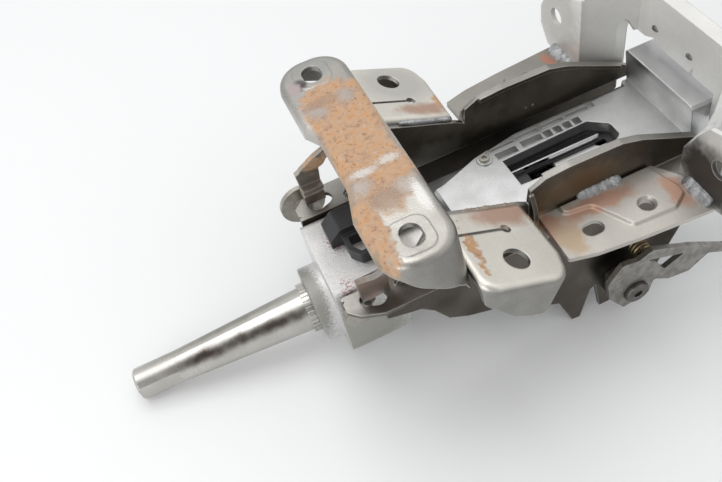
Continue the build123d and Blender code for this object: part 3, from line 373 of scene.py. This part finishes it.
def pressed_steel(
    name, pale, dark, walls=None, rough=0.38, rust=(), tints=(), bare_and_highlights=(), cloud_size=45.0,
    edge_gain=0.5, metal=1.0, bare_and_highlight_share=0.5,
):
    """Bare plate. walls is (pale, dark) for the bent-down sides, whose darker tone is painted
    shade;
    rust, tints and bare are lists of (centre, reach, ragged), with a colour for a tint and for each
    entry of bare, which holds rubbed spots and painted highlights."""
    made, tree, shader, place = begin(name)
    clouds = use_group(
        tree, mottle_tree, Vector=place, Cloud_size=cloud_size, Grain_size=1400.0, Grain_share=0.3
    )
    cloudy = clouds.outputs["Value"]
    soft_edge = use_group(tree, edge_tree, Radius=0.0009, Strength=5.0)
    edge = soft_edge.outputs["Edge"]
    colour = blend(tree, cloudy, dark, pale)
    # the bent-down walls get a darker tone, painted shade
    if walls:
        side = use_group(tree, wall_shade_tree)
        wall_pale, wall_dark = walls
        shaded_wall_colour = blend(tree, cloudy, wall_dark, wall_pale)
        colour = blend(tree, side.outputs["Mask"], colour, shaded_wall_colour)
    roughness = ramp(tree, cloudy, 0.0, 1.0, rough + 0.08, rough - 0.06)
    metallic = metal
    height = math_node(tree, "MULTIPLY", clouds.outputs["Grain"], 0.25)
    for centre, reach, ragged_by, tint in tints:
        spot = patch(tree, place, centre, reach, ragged_by, **tint_edge)
        colour = blend(tree, spot, colour, tint)
    bare_and_highlight_masks = []
    for centre, reach, ragged_by, _ in bare_and_highlights:
        spot = patch(tree, place, centre, reach, ragged_by, **bare_and_highlight_edge)
        bare_and_highlight_masks.append(math_node(tree, "MULTIPLY", spot, bare_and_highlight_share))
    if rust:
        oxide = use_group(tree, rust_tree, Vector=place, Scale=190.0)
        cover = rust_cover(tree, place, rust, bare_and_highlight_masks, edge)
        colour = blend(tree, cover, colour, oxide.outputs["Color"])
        rougher_by = math_node(tree, "SUBTRACT", oxide.outputs["Roughness"], roughness)
        rust_share = math_node(tree, "MULTIPLY", cover, rougher_by)
        roughness = math_node(tree, "ADD", roughness, rust_share)
        metal_lost = math_node(tree, "MULTIPLY", cover, 0.9 * metal)
        metallic = math_node(tree, "SUBTRACT", metal, metal_lost)
        proud_by = math_node(tree, "ADD", oxide.outputs["Height"], 0.6)
        height = math_node(tree, "ADD", height, math_node(tree, "MULTIPLY", cover, proud_by))
    for bare_and_highlight_mask, (_, _, _, tone) in zip(bare_and_highlight_masks, bare_and_highlights):
        colour = blend(tree, bare_and_highlight_mask, colour, tone)
    colour = blend(tree, math_node(tree, "MULTIPLY", edge, edge_gain), colour, polished)
    normal = soft_edge.outputs["Normal"]
    finish_surface(tree, shader, colour, roughness, height, plate_bump, normal, metallic)
    return made


# %% [markdown]
# All plates share a few tones: a warm grey, darker walls that are painted shade, and the straw,
# red and pink that heat from welding leaves behind. Naming them once keeps the plates in one
# family.

# %% Shared tones
warm_pale = (0.46, 0.445, 0.41, 1)
warm_dark = (0.34, 0.325, 0.30, 1)
# painted shade: the darker tones of the bent-down walls
shaded_wall_tones = ((0.34, 0.335, 0.315, 1), (0.25, 0.245, 0.23, 1))
heat_straw = (0.46, 0.36, 0.26, 1)
heat_red = (0.48, 0.24, 0.17, 1)
heat_soft = (0.50, 0.315, 0.235, 1)
heat_pink = (0.50, 0.35, 0.275, 1)
spot_grey = (0.40, 0.36, 0.335, 1)
print("heat tones run from", heat_straw[:3], "to", heat_red[:3])

# %% [markdown]
# The bridge carries most of the rust: two big patches over its top with smaller ones at the rims.
# The bare list breaks it up with rubbed spots and darker cores, and it also holds painted
# highlights: two pale bands across the middle and the two bright long edges. Places are in metres
# in the column's own frame.

# %% The bridge's steel
bridge_steel = pressed_steel(
    "bridge steel", warm_pale, warm_dark, walls=shaded_wall_tones, rough=0.36, bare_and_highlight_share=0.62,
    rust=[
        ((-0.037, 0.022, 0.030), (0.020, 0.031, 0.02), 0.22),
        ((-0.040, -0.010, 0.030), (0.019, 0.036, 0.02), 0.22),
        ((-0.042, 0.038, 0.030), (0.012, 0.012, 0.02), 0.5),
        ((-0.052, -0.046, 0.027), (0.006, 0.024, 0.02), 0.6),
        ((-0.024, -0.018, 0.028), (0.005, 0.010, 0.02), 0.7),
        ((-0.028, 0.034, 0.030), (0.012, 0.012, 0.02), 0.5),
    ],
    tints=[
        ((-0.0475, 0.053, 0.031), (0.0045, 0.006, 0.02), 0.7, (0.10, 0.085, 0.09, 1)),
        ((-0.051, 0.052, 0.030), (0.004, 0.006, 0.02), 0.8, (0.42, 0.35, 0.355, 1)),
        ((-0.054, -0.045, 0.020), (0.010, 0.030, 0.03), 0.5, heat_straw),
        ((-0.038, 0.062, 0.031), (0.020, 0.011, 0.01), 0.4, (0.34, 0.34, 0.325, 1)),
    ],
    bare_and_highlights=[
        ((-0.0467, 0.0306, 0.031), (0.006, 0.006, 0.01), 1.6, spot_grey),
        ((-0.0317, 0.0341, 0.031), (0.006, 0.006, 0.01), 1.6, spot_grey),
        ((-0.0481, -0.0228, 0.031), (0.0065, 0.0065, 0.01), 1.6, spot_grey),
        ((-0.0313, -0.0313, 0.031), (0.0065, 0.0065, 0.01), 1.6, spot_grey),
        # painted highlights: two pale bands across the middle
        ((-0.044, -0.0155, 0.031), (0.009, 0.0030, 0.01), 1.0, (0.62, 0.59, 0.57, 1)),
        ((-0.031, -0.0135, 0.031), (0.007, 0.0032, 0.01), 1.0, (0.62, 0.59, 0.55, 1)),
        ((-0.041, -0.034, 0.031), (0.008, 0.007, 0.01), 1.2, (0.27, 0.165, 0.115, 1)),
        ((-0.043, 0.036, 0.031), (0.009, 0.004, 0.01), 1.3, (0.36, 0.20, 0.12, 1)),
        ((-0.0275, -0.040, 0.030), (0.004, 0.011, 0.01), 0.6, (0.66, 0.65, 0.63, 1)),
        # painted highlights along the bridge's two long edges
        ((-0.0205, 0.0, 0.028), (0.0040, 0.060, 0.010), 0.5, (0.70, 0.64, 0.54, 1)),
        ((-0.0555, 0.018, 0.026), (0.0045, 0.045, 0.009), 0.6, (0.62, 0.60, 0.57, 1)),
    ],
)
print("bridge steel made")

# %% [markdown]
# The ears are paler, with rust only along their slots and seams and a pink stain beside the
# weld. The gussets were heated on both sides, so soft red tints run along their welds. The far
# gusset hangs in shade, and its plate colour is painted darker as shade.

# %% The ears' and gussets' steel
ear_steel = pressed_steel(
    "ear steel", (0.78, 0.75, 0.685, 1), (0.665, 0.64, 0.58, 1),
    # the ears' darker wall tones are painted shade
    walls=((0.32, 0.315, 0.295, 1), (0.24, 0.235, 0.22, 1)), rough=0.40,
    rust=[
        ((-0.0150, -0.058, 0.003), (0.0030, 0.015, 0.010), 1.3),
        ((0.021, 0.046, -0.002), (0.006, 0.010, 0.012), 0.6),
        ((0.022, -0.050, -0.002), (0.005, 0.012, 0.012), 0.7),
    ],
    tints=[
        ((0.010, -0.040, 0.0), (0.026, 0.010, 0.02), 0.4, heat_pink),
        ((0.010, 0.041, 0.0), (0.020, 0.007, 0.02), 0.5, heat_pink),
        ((0.0, 0.064, -0.002), (0.035, 0.022, 0.016), 0.2, (0.57, 0.555, 0.52, 1)),
    ],
)
gusset_steel = pressed_steel(
    "gusset steel", (0.55, 0.525, 0.48, 1), (0.46, 0.435, 0.40, 1),
    rough=0.44, edge_gain=0.2, metal=0.8,
    tints=[
        ((0.058, -0.041, -0.026), (0.027, 0.0075, 0.01), 0.7, heat_soft),
        ((0.092, -0.053, -0.026), (0.007, 0.017, 0.01), 0.8, heat_soft),
        ((0.033, -0.043, -0.027), (0.009, 0.011, 0.02), 0.8, heat_soft),
        ((0.036, -0.052, -0.027), (0.008, 0.014, 0.02), 0.6, heat_straw),
    ],
)
# painted shade: a darker copy of the gusset steel
shaded_far_gusset_steel = pressed_steel(
    "shaded far gusset steel", (0.33, 0.32, 0.285, 1), (0.25, 0.24, 0.215, 1),
    rough=0.44, edge_gain=0.3, metal=0.8,
    tints=[((0.092, 0.053, -0.026), (0.005, 0.015, 0.01), 0.5, heat_red)],
)
print("ear and gusset steels made")

# %% [markdown]
# The rear bracket is the cleanest piece, with one ear painted dark as shade. The legs are browned,
# and the rails are dark and oily steel, with painted shade on their walls and a near-black painted
# shadow where the front arm bends.

# %% The rear bracket's, legs' and rails' steel
rear_steel = pressed_steel(
    "rear bracket steel", (0.86, 0.855, 0.83, 1), (0.74, 0.735, 0.715, 1), rough=0.42, metal=0.40,
    tints=[
        ((0.1005, 0.068, 0.002), (0.008, 0.030, 0.042), 0.3, (0.56, 0.55, 0.515, 1)),
        # painted shade: the near ear's lower part is painted nearly black
        ((0.101, -0.062, -0.014), (0.014, 0.034, 0.024), 0.3, (0.045, 0.042, 0.038, 1)),
    ],
)
leg_steel = pressed_steel(
    "leg steel", (0.46, 0.43, 0.39, 1), (0.30, 0.275, 0.25, 1), rough=0.45,
    rust=[((-0.052, 0.030, 0.0), (0.012, 0.012, 0.026), 0.9)],
    tints=[
        ((-0.052, 0.028, 0.0), (0.014, 0.016, 0.03), 0.5, heat_straw),
        ((-0.058, -0.042, -0.016), (0.016, 0.022, 0.024), 0.5, (0.33, 0.25, 0.21, 1)),
    ],
)
rail_steel = pressed_steel(
    "rail steel", (0.40, 0.385, 0.355, 1), (0.28, 0.27, 0.25, 1),
    # the rails' near-black wall tones are painted shade
    walls=((0.155, 0.135, 0.11, 1), (0.075, 0.067, 0.057, 1)),
    rough=0.34, cloud_size=30.0, edge_gain=0.6,
    tints=[
        # painted shadow: near black in the opening under the bridge skirt, by the front arm's bend
        ((-0.027, -0.036, -0.044), (0.020, 0.012, 0.015), 0.1, (0.022, 0.020, 0.017, 1)),
        ((-0.012, -0.036, -0.060), (0.018, 0.012, 0.017), 0.1, (0.022, 0.020, 0.017, 1)),
        ((0.020, -0.036, -0.027), (0.022, 0.010, 0.006), 0.6, heat_straw),
        ((0.052, -0.033, -0.017), (0.032, 0.006, 0.014), 0.5, (0.18, 0.148, 0.103, 1)),
        ((0.030, 0.033, -0.016), (0.060, 0.004, 0.018), 0.5, (0.17, 0.15, 0.122, 1)),
        ((0.006, 0.031, -0.030), (0.022, 0.004, 0.014), 0.4, (0.25, 0.24, 0.215, 1)),
        ((-0.0574, -0.041, -0.029), (0.022, 0.007, 0.004), 0.4, (0.19, 0.185, 0.17, 1)),
    ],
)
print("rear, leg and rail steels made")


# %% [markdown]
# Die-cast aluminium is pale and slightly grainy, with a skin of tiny dimples from the mould. The
# lower casting is coarser: its skin is full of dark and bright specks. One function with two
# strengths makes both, and tints change given places: painted shade on the jacket's pocket floors,
# a darker rear block top and a thin dark line on the jacket, and a darker collar, a darker low near
# side and pink spots on the lower casting.

# %% Cast metal
speck_dark = (0.16, 0.15, 0.15, 1)
cast_edge = (0.85, 0.85, 0.85, 1)
shade_and_tint_edge = {"softness": 0.5, "noise_size": 900.0}


def cast_metal(name, pale, dark, speck, rough, pits, tints=()):
    """A cast skin: clouds, fine dimples and specks; tints are (centre, reach, ragged, colour)."""
    made, tree, shader, place = begin(name)
    clouds = use_group(
        tree, mottle_tree, Vector=place, Cloud_size=70.0, Grain_size=2200.0, Grain_share=speck
    )
    cloudy = clouds.outputs["Value"]
    soft_edge = use_group(tree, edge_tree, Radius=0.0006, Strength=5.0)
    edge = soft_edge.outputs["Edge"]
    colour = blend(tree, cloudy, dark, pale)
    cells = put(tree, "ShaderNodeTexVoronoi", {"Vector": place, "Scale": 1100.0})
    specks = ramp(tree, cells.outputs["Distance"], 0.05, 0.30, 1.0, 0.0)
    colour = blend(tree, math_node(tree, "MULTIPLY", specks, speck), colour, speck_dark)
    for centre, reach, ragged_by, tint in tints:
        spot = patch(tree, place, centre, reach, ragged_by, **shade_and_tint_edge)
        colour = blend(tree, spot, colour, tint)
    colour = blend(tree, math_node(tree, "MULTIPLY", edge, 0.5), colour, cast_edge)
    roughness = ramp(tree, cloudy, 0.0, 1.0, rough + 0.07, rough - 0.05)
    speck_depth = math_node(tree, "MULTIPLY", specks, 0.6)
    height = math_node(tree, "SUBTRACT", clouds.outputs["Grain"], speck_depth)
    finish_surface(tree, shader, colour, roughness, height, pits, soft_edge.outputs["Normal"], 1.0)
    return made


jacket_alloy = cast_metal(
    "jacket alloy", (0.63, 0.635, 0.63, 1), (0.53, 0.535, 0.53, 1), 0.18, 0.42, 0.00003,
    tints=[
        # painted shade on the pocket floors
        ((0.045, 0.0, -0.0365), (0.075, 0.040, 0.0020), 0.1, (0.20, 0.20, 0.20, 1)),
        ((0.127, 0.0, -0.0075), (0.016, 0.045, 0.007), 0.1, (0.43, 0.43, 0.435, 1)),
        ((0.1294, -0.0014, -0.0293), (0.0013, 0.0199, 0.0030), 0.2, (0.10, 0.10, 0.10, 1)),
    ],
)
casting_alloy = cast_metal(
    "casting alloy", (0.84, 0.835, 0.83, 1), (0.65, 0.645, 0.64, 1), 0.55, 0.46, 0.00010,
    tints=[
        ((-0.0833, -0.0078, -0.044), (0.009, 0.030, 0.030), 0.3, (0.34, 0.335, 0.31, 1)),
        ((-0.0652, -0.026, -0.0645), (0.034, 0.003, 0.032), 0.3, (0.44, 0.44, 0.395, 1)),
        ((-0.062, 0.006, -0.034), (0.005, 0.009, 0.008), 1.6, (0.46, 0.25, 0.26, 1)),
        ((-0.066, -0.022, -0.036), (0.005, 0.007, 0.008), 1.6, (0.46, 0.25, 0.26, 1)),
    ],
)
print("two cast skins made")

# %% [markdown]
# The shaft was turned and ground, so very fine scratches run round it. A noise that is squeezed
# along the axis makes the scratches, and long thin brownish patches along its sides are painted
# dark reflections.

# %% Turned steel
turned_edge = (0.8, 0.79, 0.77, 1)
streak_edge = {"softness": 0.9, "noise_size": 160.0}
squeeze = (1500.0, 40.0, 40.0)
ring_bump = 0.000004


def turned_steel(name, pale, dark, reflection_streaks, rough, metal=1.0):
    """Ground steel with faint rings across X; stains lists patches of painted dark reflection, each
    (centre, reach, ragged, colour).
    """
    made, tree, shader, place = begin(name)
    squeezed = put(tree, "ShaderNodeMapping", {"Vector": place, "Scale": squeeze}).outputs[0]
    rings = put(
        tree, "ShaderNodeTexNoise", {"Vector": squeezed, "Scale": 1.0, "Detail": 3.0}
    ).outputs[0]
    cloudy = use_group(
        tree, mottle_tree, Vector=place, Cloud_size=70.0, Grain_size=900.0, Grain_share=0.2
    ).outputs["Value"]
    soft_edge = use_group(tree, edge_tree, Radius=0.0005, Strength=5.0)
    tone = math_node(
        tree, "ADD", math_node(tree, "MULTIPLY", cloudy, 0.7),
        math_node(tree, "MULTIPLY", ramp(tree, rings, 0.3, 0.7), 0.3),
    )
    colour = blend(tree, tone, dark, pale)
    roughness = ramp(tree, cloudy, 0.0, 1.0, rough + 0.05, rough - 0.03)
    for centre, reach, ragged_by, tint in reflection_streaks:
        spot = patch(tree, place, centre, reach, ragged_by, **streak_edge)
        colour = blend(tree, spot, colour, tint)
    worn_edge = math_node(tree, "MULTIPLY", soft_edge.outputs["Edge"], 0.4)
    colour = blend(tree, worn_edge, colour, turned_edge)
    normal = soft_edge.outputs["Normal"]
    finish_surface(tree, shader, colour, roughness, rings, ring_bump, normal, metal)
    return made


shaft_steel = turned_steel(
    "shaft steel", (0.58, 0.565, 0.535, 1), (0.49, 0.475, 0.445, 1),
    [
        # painted dark reflections along the shaft's sides, tinted brown
        ((-0.143, -0.0063, -0.0546), (0.034, 0.0050, 0.0050), 0.5, (0.10, 0.08, 0.064, 1)),
        ((-0.108, -0.0073, -0.0536), (0.036, 0.0050, 0.0050), 0.5, (0.13, 0.11, 0.09, 1)),
        ((-0.125, 0.007, -0.055), (0.070, 0.0085, 0.009), 0.3, (0.25, 0.245, 0.205, 1)),
    ],
    0.30,
)
bearing_steel = turned_steel(
    "bearing steel", (0.70, 0.70, 0.71, 1), (0.62, 0.62, 0.63, 1), (), 0.16
)
tube_chrome = turned_steel("tube chrome", (0.80, 0.80, 0.81, 1), (0.72, 0.72, 0.73, 1), (), 0.12)
bright_tube = turned_steel(
    "bright tube", (0.86, 0.86, 0.85, 1), (0.78, 0.78, 0.77, 1), (), 0.38, metal=0.5
)
tube_steel = turned_steel("tube steel", (0.44, 0.43, 0.41, 1), (0.32, 0.31, 0.29, 1), (), 0.36)
print("five turned steels made")

# %% [markdown]
# Small parts share two quick finishes. The first is metal, from zinc plate with a yellow cast to
# dark oiled steel and brass; welds use it too, with a stronger grain. The second is moulded
# plastic, which has no metal share, a fine grain from the mould and paler edges.


# %% Small parts
def plated(name, pale, dark, rough, grain_bump=0.00003):
    """Plated or oiled small steel parts with cloudy tone and bright edges."""
    made, tree, shader, place = begin(name)
    clouds = use_group(
        tree, mottle_tree, Vector=place, Cloud_size=220.0, Grain_size=2400.0, Grain_share=0.3
    )
    cloudy, grains = clouds.outputs["Value"], clouds.outputs["Grain"]
    soft_edge = use_group(tree, edge_tree, Radius=0.0004, Strength=6.0)
    colour = blend(tree, cloudy, dark, pale)
    worn_edge = math_node(tree, "MULTIPLY", soft_edge.outputs["Edge"], 0.5)
    colour = blend(tree, worn_edge, colour, (0.8, 0.78, 0.74, 1))
    roughness = ramp(tree, cloudy, 0.0, 1.0, rough + 0.08, rough - 0.05)
    normal = soft_edge.outputs["Normal"]
    finish_surface(tree, shader, colour, roughness, grains, grain_bump, normal, 1.0)
    return made


def moulded(name, tone, pale, rough):
    """Moulded plastic with a fine grain and worn edges."""
    made, tree, shader, place = begin(name)
    clouds = use_group(
        tree, mottle_tree, Vector=place, Cloud_size=90.0, Grain_size=3000.0, Grain_share=0.5
    )
    cloudy, grains = clouds.outputs["Value"], clouds.outputs["Grain"]
    soft_edge = use_group(tree, edge_tree, Radius=0.0005, Strength=4.0)
    colour = blend(tree, cloudy, tone, pale)
    worn_edge = math_node(tree, "MULTIPLY", soft_edge.outputs["Edge"], 0.3)
    colour = blend(tree, worn_edge, colour, (0.3, 0.3, 0.31, 1))
    roughness = ramp(tree, grains, 0.0, 1.0, rough - 0.08, rough + 0.08)
    normal = soft_edge.outputs["Normal"]
    finish_surface(tree, shader, colour, roughness, grains, 0.00004, normal, 0.0)
    return made


zinc_plate = plated("zinc plate", (0.50, 0.48, 0.43, 1), (0.34, 0.32, 0.28, 1), 0.38)
brown_plate = plated("brown oiled steel", (0.40, 0.34, 0.28, 1), (0.22, 0.18, 0.15, 1), 0.42)
oiled_steel = plated("dark oiled steel", (0.20, 0.19, 0.18, 1), (0.09, 0.085, 0.08, 1), 0.40)
lever_steel = plated("lever steel", (0.36, 0.345, 0.325, 1), (0.20, 0.19, 0.175, 1), 0.40)
spring_brass = plated("brass plate", (0.34, 0.27, 0.14, 1), (0.18, 0.13, 0.07, 1), 0.34)
black_plastic = moulded("black plastic", (0.012, 0.012, 0.013, 1), (0.028, 0.029, 0.032, 1), 0.42)
bush_plastic = moulded("bush plastic", (0.62, 0.58, 0.48, 1), (0.72, 0.69, 0.60, 1), 0.5)
print("seven small finishes made")

# %% [markdown]
# Two things are made here and not in CAD: the ripples of the welds and two small tabs. Both start
# as a mesh of points and end as an object that rides on the frame, so that end is one function.
# Faces with more than four corners are the flat ones, and they stay flat.


# %% From mesh to piece
def add_piece(name, mesh, metal):
    """Turn a finished bmesh into an object on the frame; gives the object."""
    data = bpy.data.meshes.new(name)
    mesh.to_mesh(data)
    mesh.free()
    for polygon in data.polygons:
        polygon.use_smooth = len(polygon.vertices) <= 4
    piece = bpy.data.objects.new(name, data)
    bpy.context.collection.objects.link(piece)
    piece.data.materials.append(metal)
    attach(piece, "frame")
    return piece


# %% [markdown]
# A weld is a row of overlapping puddles of uneven length. Each bead is a tube whose radius swells
# and shrinks with every puddle and wanders a little, pressed into the corner that it fills. The
# ripples are real shape, so they show from every side. Weld metal is brighter than the plate, and
# only the thin seam at the near ear has turned tan.

# %% Weld beads
weld_metal = plated("weld metal", (0.66, 0.67, 0.68, 1), (0.20, 0.21, 0.22, 1), 0.30, 0.00016)
tan_weld = plated("tan weld", (0.42, 0.36, 0.30, 1), (0.28, 0.235, 0.195, 1), 0.45)
bead_random = random.Random(7)
bead_sides = 14
fewest_steps = 12
step_length = 0.11
puddle_lengths = (0.45, 1.1)
wander_limit = 0.14
smallest_swell = 0.94
puddle_swell = 0.13
squash = 0.50
ripple_lag = 0.22


def weld_bead(name, start, end, radius, flat, metal=weld_metal):
    """A rippled bead from start to end; flat is the direction that it is squashed in. The lengths
    and shares above are in radii."""
    start, end, flat = Vector(start), Vector(end), Vector(flat).normalized()
    along = (end - start).normalized()
    across = along.cross(flat).normalized()
    length = (end - start).length
    edges = [0.0]
    while edges[-1] < length:
        edges.append(edges[-1] + radius * bead_random.uniform(*puddle_lengths))
    wander = [bead_random.uniform(-wander_limit, wander_limit) for _ in edges]
    steps = max(fewest_steps, int(length / (radius * step_length)))
    mesh = bmesh.new()
    rings = []
    for step in range(steps + 1):
        t = step / steps
        puddle = max(i for i, edge in enumerate(edges[:-1]) if edge <= length * t + 1e-9)
        share = min(1.0, (length * t - edges[puddle]) / (edges[puddle + 1] - edges[puddle]))
        swell = smallest_swell + puddle_swell * math.sqrt(1 - share) + wander[puddle]
        tip = math.sqrt(max(0.0, 1 - abs(2 * t - 1) ** 8))
        sway = 0.5 * radius * wander[puddle]
        centre = start + along * (length * t) + across * sway
        ring = []
        for side in range(bead_sides):
            angle = 2 * math.pi * side / bead_sides
            lag = ripple_lag * radius * math.cos(angle)
            point = centre + across * (radius * swell * tip * math.sin(angle))
            point += flat * (squash * radius * swell * tip * math.cos(angle)) + along * lag * tip
            ring.append(mesh.verts.new(point))
        rings.append(ring)
    for first, second in zip(rings, rings[1:]):
        for side in range(bead_sides):
            after = (side + 1) % bead_sides
            mesh.faces.new((first[side], first[after], second[after], second[side]))
    mesh.faces.new(list(reversed(rings[0])))
    mesh.faces.new(rings[-1])
    bmesh.ops.recalc_face_normals(mesh, faces=mesh.faces)
    bmesh.ops.dissolve_degenerate(mesh, dist=0.000001, edges=mesh.edges)
    return add_piece(name, mesh, metal)


# %% [markdown]
# Six beads are laid: one where each gusset meets its rail, one where it meets the rear bracket,
# and one up the seam of each mounting ear. Their heights come from the gusset's own box. The first
# bead takes the place of the plain CAD welds.

# %% Laying the beads
gusset_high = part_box("gusset_right")[1]
rib_top = gusset_high[2]
rear_corner = gusset_high[0] - 0.0016
ear_seam_face = 0.0338
rib_face = 0.0345
for side, label, seam_metal, seam_size in (
    (-1, "right", tan_weld, 0.0020), (1, "left", weld_metal, 0.0030)
):
    weld_bead(
        f"gusset_weld_{label}",
        (0.0505, side * rib_face, rib_top), (0.0745, side * rib_face, rib_top),
        0.0039, (0, side * 0.7, 0.7),
    )
    weld_bead(
        f"rear_weld_{label}",
        (rear_corner, side * 0.0485, rib_top - 0.001), (rear_corner, side * 0.068, rib_top - 0.001),
        0.0042, (-0.7, 0, 0.7),
    )
    weld_bead(
        f"ear_weld_{label}",
        (0.019, side * ear_seam_face, -0.0111), (-0.0095, side * ear_seam_face, 0.0011),
        seam_size, (0.28, side * 0.7, 0.65), seam_metal,
    )
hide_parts("weld_beads")

# %% [markdown]
# The web of the rear bracket carries two small lanced tabs, where the punch cut a slit and pushed
# the metal out into a little hood. Each hood is half a dome. Its flat side faces down, so it stays
# dark.

# %% Lanced tabs
tab_face = 0.1288
tab_radius = 0.0030
tab_proud = 0.0022
tab_turns = 10
tab_climbs = 5
tab_steel = plated("tab steel", (0.34, 0.335, 0.32, 1), (0.14, 0.135, 0.125, 1), 0.40)


def lanced_tab(name, y, z):
    """A small hood on the front face of the rear web, centred on its flat lower side."""
    mesh = bmesh.new()
    rows = []
    for i in range(tab_turns + 1):
        turn = math.pi * i / tab_turns
        row = []
        for j in range(tab_climbs + 1):
            climb = 0.5 * math.pi * j / tab_climbs
            across = tab_radius * math.cos(climb)
            row.append(mesh.verts.new((
                tab_face - tab_proud * math.sin(climb),
                y + across * math.cos(turn),
                z + across * math.sin(turn),
            )))
        rows.append(row)
    for first, second in zip(rows, rows[1:]):
        for j in range(tab_climbs):
            mesh.faces.new((first[j], first[j + 1], second[j + 1], second[j]))
    mesh.faces.new(rows[0] + rows[-1][-2::-1])
    mesh.faces.new([row[0] for row in rows])
    bmesh.ops.remove_doubles(mesh, verts=mesh.verts, dist=0.00001)
    bmesh.ops.recalc_face_normals(mesh, faces=mesh.faces)
    return add_piece(name, mesh, tab_steel)


lanced_tab("lanced_tab_left", 0.0190, 0.0046)
lanced_tab("lanced_tab_right", -0.0073, 0.0048)
print("two lanced tabs pressed")

# %% [markdown]
# Now the materials are handed out. A table from node to finish keeps it in one place, and a loop
# fills every material slot of every CAD piece, so that none keeps the plain colour it came with.

# %% Hand out the materials
finishes = {
    bridge_steel: ["front_bridge"],
    ear_steel: ["mounting_ear_right", "mounting_ear_left"],
    gusset_steel: ["gusset_right"],
    shaded_far_gusset_steel: ["gusset_left"],
    rear_steel: ["rear_bracket"],
    leg_steel: ["bridge_leg_right", "bridge_leg_left"],
    rail_steel: ["side_rail_right", "side_rail_left"],
    jacket_alloy: ["jacket"],
    casting_alloy: ["lower_casting"],
    shaft_steel: ["lower_shaft", "upper_shaft", "tolerance_ring"],
    bearing_steel: [
        "lower_bearing_outer", "lower_bearing_inner", "lower_bearing_balls", "upper_bearing_outer",
        "upper_bearing_inner", "upper_bearing_balls", "lower_snap_ring", "upper_snap_ring",
    ],
    tube_chrome: ["guide_rail"],
    bright_tube: ["inner_tube"],
    tube_steel: ["lower_tube", "upper_housing"],
    zinc_plate: ["pivot_bolt_right", "pivot_bolt_left", "clamp_nut", "clamp_washer", "guide_screw"],
    brown_plate: ["square_block_left"],
    oiled_steel: ["clamp_spacers", "clamp_block", "moving_cam", "clamp_bolt"],
    lever_steel: ["lever"],
    spring_brass: ["return_spring"],
    black_plastic: ["slide_sleeve", "cable_guide", "lever_grip"],
    bush_plastic: ["pivot_bushes"],
    weld_metal: ["weld_beads"],
}
for finish, names in finishes.items():
    for name in names:
        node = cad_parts[name]
        for slot in node.material_slots:
            slot.material = finish
dressed = {name for names in finishes.values() for name in names}
print("nodes without a finish:", sorted(set(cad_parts) - dressed))

# %% [markdown]
# The column lies on a pale, slightly glossy table that slopes gently away under it. The slope
# comes from the picture: the shaft's tip almost touches the table, while the lever end stands
# further off. The table ends well outside the view.

# %% The table
shaft_tip = -0.1807
height_at_tip = -0.0707
table_slope = -0.194
table_half = 0.75
table_steps = 40
table_mesh = bmesh.new()
grid = []
for i in range(table_steps + 1):
    row = []
    for j in range(table_steps + 1):
        x = -table_half + 2 * table_half * i / table_steps
        y = -table_half + 2 * table_half * j / table_steps
        row.append(table_mesh.verts.new((x, y, height_at_tip + table_slope * (x - shaft_tip))))
    grid.append(row)
for i in range(table_steps):
    for j in range(table_steps):
        near_row, far_row = grid[i], grid[i + 1]
        table_mesh.faces.new((near_row[j], far_row[j], far_row[j + 1], near_row[j + 1]))
table_data = bpy.data.meshes.new("table")
table_mesh.to_mesh(table_data)
table_mesh.free()
table = bpy.data.objects.new("table", table_data)
bpy.context.collection.objects.link(table)
table_material, _, table_shader, _ = begin("table top")
table_shader.inputs["Base Color"].default_value = (0.90, 0.91, 0.915, 1)
table_shader.inputs["Roughness"].default_value = 0.32
table_shader.inputs["Specular IOR Level"].default_value = 0.25
table_data.materials.append(table_material)
print("the table slopes by", round(math.degrees(math.atan(-table_slope)), 1), "degrees")

# %% [markdown]
# The light is that of a white studio: one large soft lamp above and a little behind, a weaker one
# from the side to shape the folds, and a white world. The camera sees the world as plain white. As
# a light it is a little dimmer. In reflections it is paler overhead and dark in one corner above
# the near side, because flat metal only looks like metal when it has something dark to mirror.

# %% The light
world_light = 0.76
corner_way = (-0.12, -0.70, 0.70)
corner_share = 0.35
world = bpy.data.worlds.new("studio")
bpy.context.scene.world = world
world.use_nodes = True
world_tree = world.node_tree
world_tree.nodes.clear()
rays = put(world_tree, "ShaderNodeLightPath")
seen = math_node(
    world_tree, "MAXIMUM", rays.outputs["Is Camera Ray"], rays.outputs["Is Transmission Ray"]
)
direction = put(world_tree, "ShaderNodeTexCoord").outputs["Generated"]
height_of = put(world_tree, "ShaderNodeSeparateXYZ", {"Vector": direction}).outputs["Z"]
overhead = ramp(world_tree, height_of, -0.4, 0.9, 0.60, 1.0)
towards_corner = put(
    world_tree, "ShaderNodeVectorMath", {0: direction, 1: corner_way}, operation="DOT_PRODUCT"
).outputs["Value"]
corner = ramp(world_tree, towards_corner, 0.80, 0.98, 1.0, corner_share)
mirrored = math_node(world_tree, "MULTIPLY", overhead, corner)
extra = math_node(world_tree, "SUBTRACT", mirrored, world_light)
glossy_extra = math_node(world_tree, "MULTIPLY", rays.outputs["Is Glossy Ray"], extra)
glossy = math_node(world_tree, "ADD", world_light, glossy_extra)
strength = math_node(world_tree, "MAXIMUM", seen, glossy)
background = put(
    world_tree, "ShaderNodeBackground", {"Color": (1, 1, 1, 1), "Strength": strength}
)
world_output = put(world_tree, "ShaderNodeOutputWorld")
world_tree.links.new(background.outputs[0], world_output.inputs["Surface"])


def soft_lamp(name, place, target, size, power):
    """A square area lamp at place that faces target."""
    data = bpy.data.lights.new(name, "AREA")
    data.size = size
    data.energy = power
    lamp = bpy.data.objects.new(name, data)
    lamp.location = place
    facing = Vector(target) - Vector(place)
    lamp.rotation_euler = facing.to_track_quat("-Z", "Y").to_euler()
    bpy.context.collection.objects.link(lamp)


soft_lamp("key_lamp", (-0.05, 0.25, 1.00), (0, 0, -0.03), 0.8, 3.8)
soft_lamp("side_lamp", (-0.75, -0.55, 0.35), (-0.02, 0, -0.04), 0.5, 2.0)
print("a world and", len(bpy.data.lights), "lamps made")
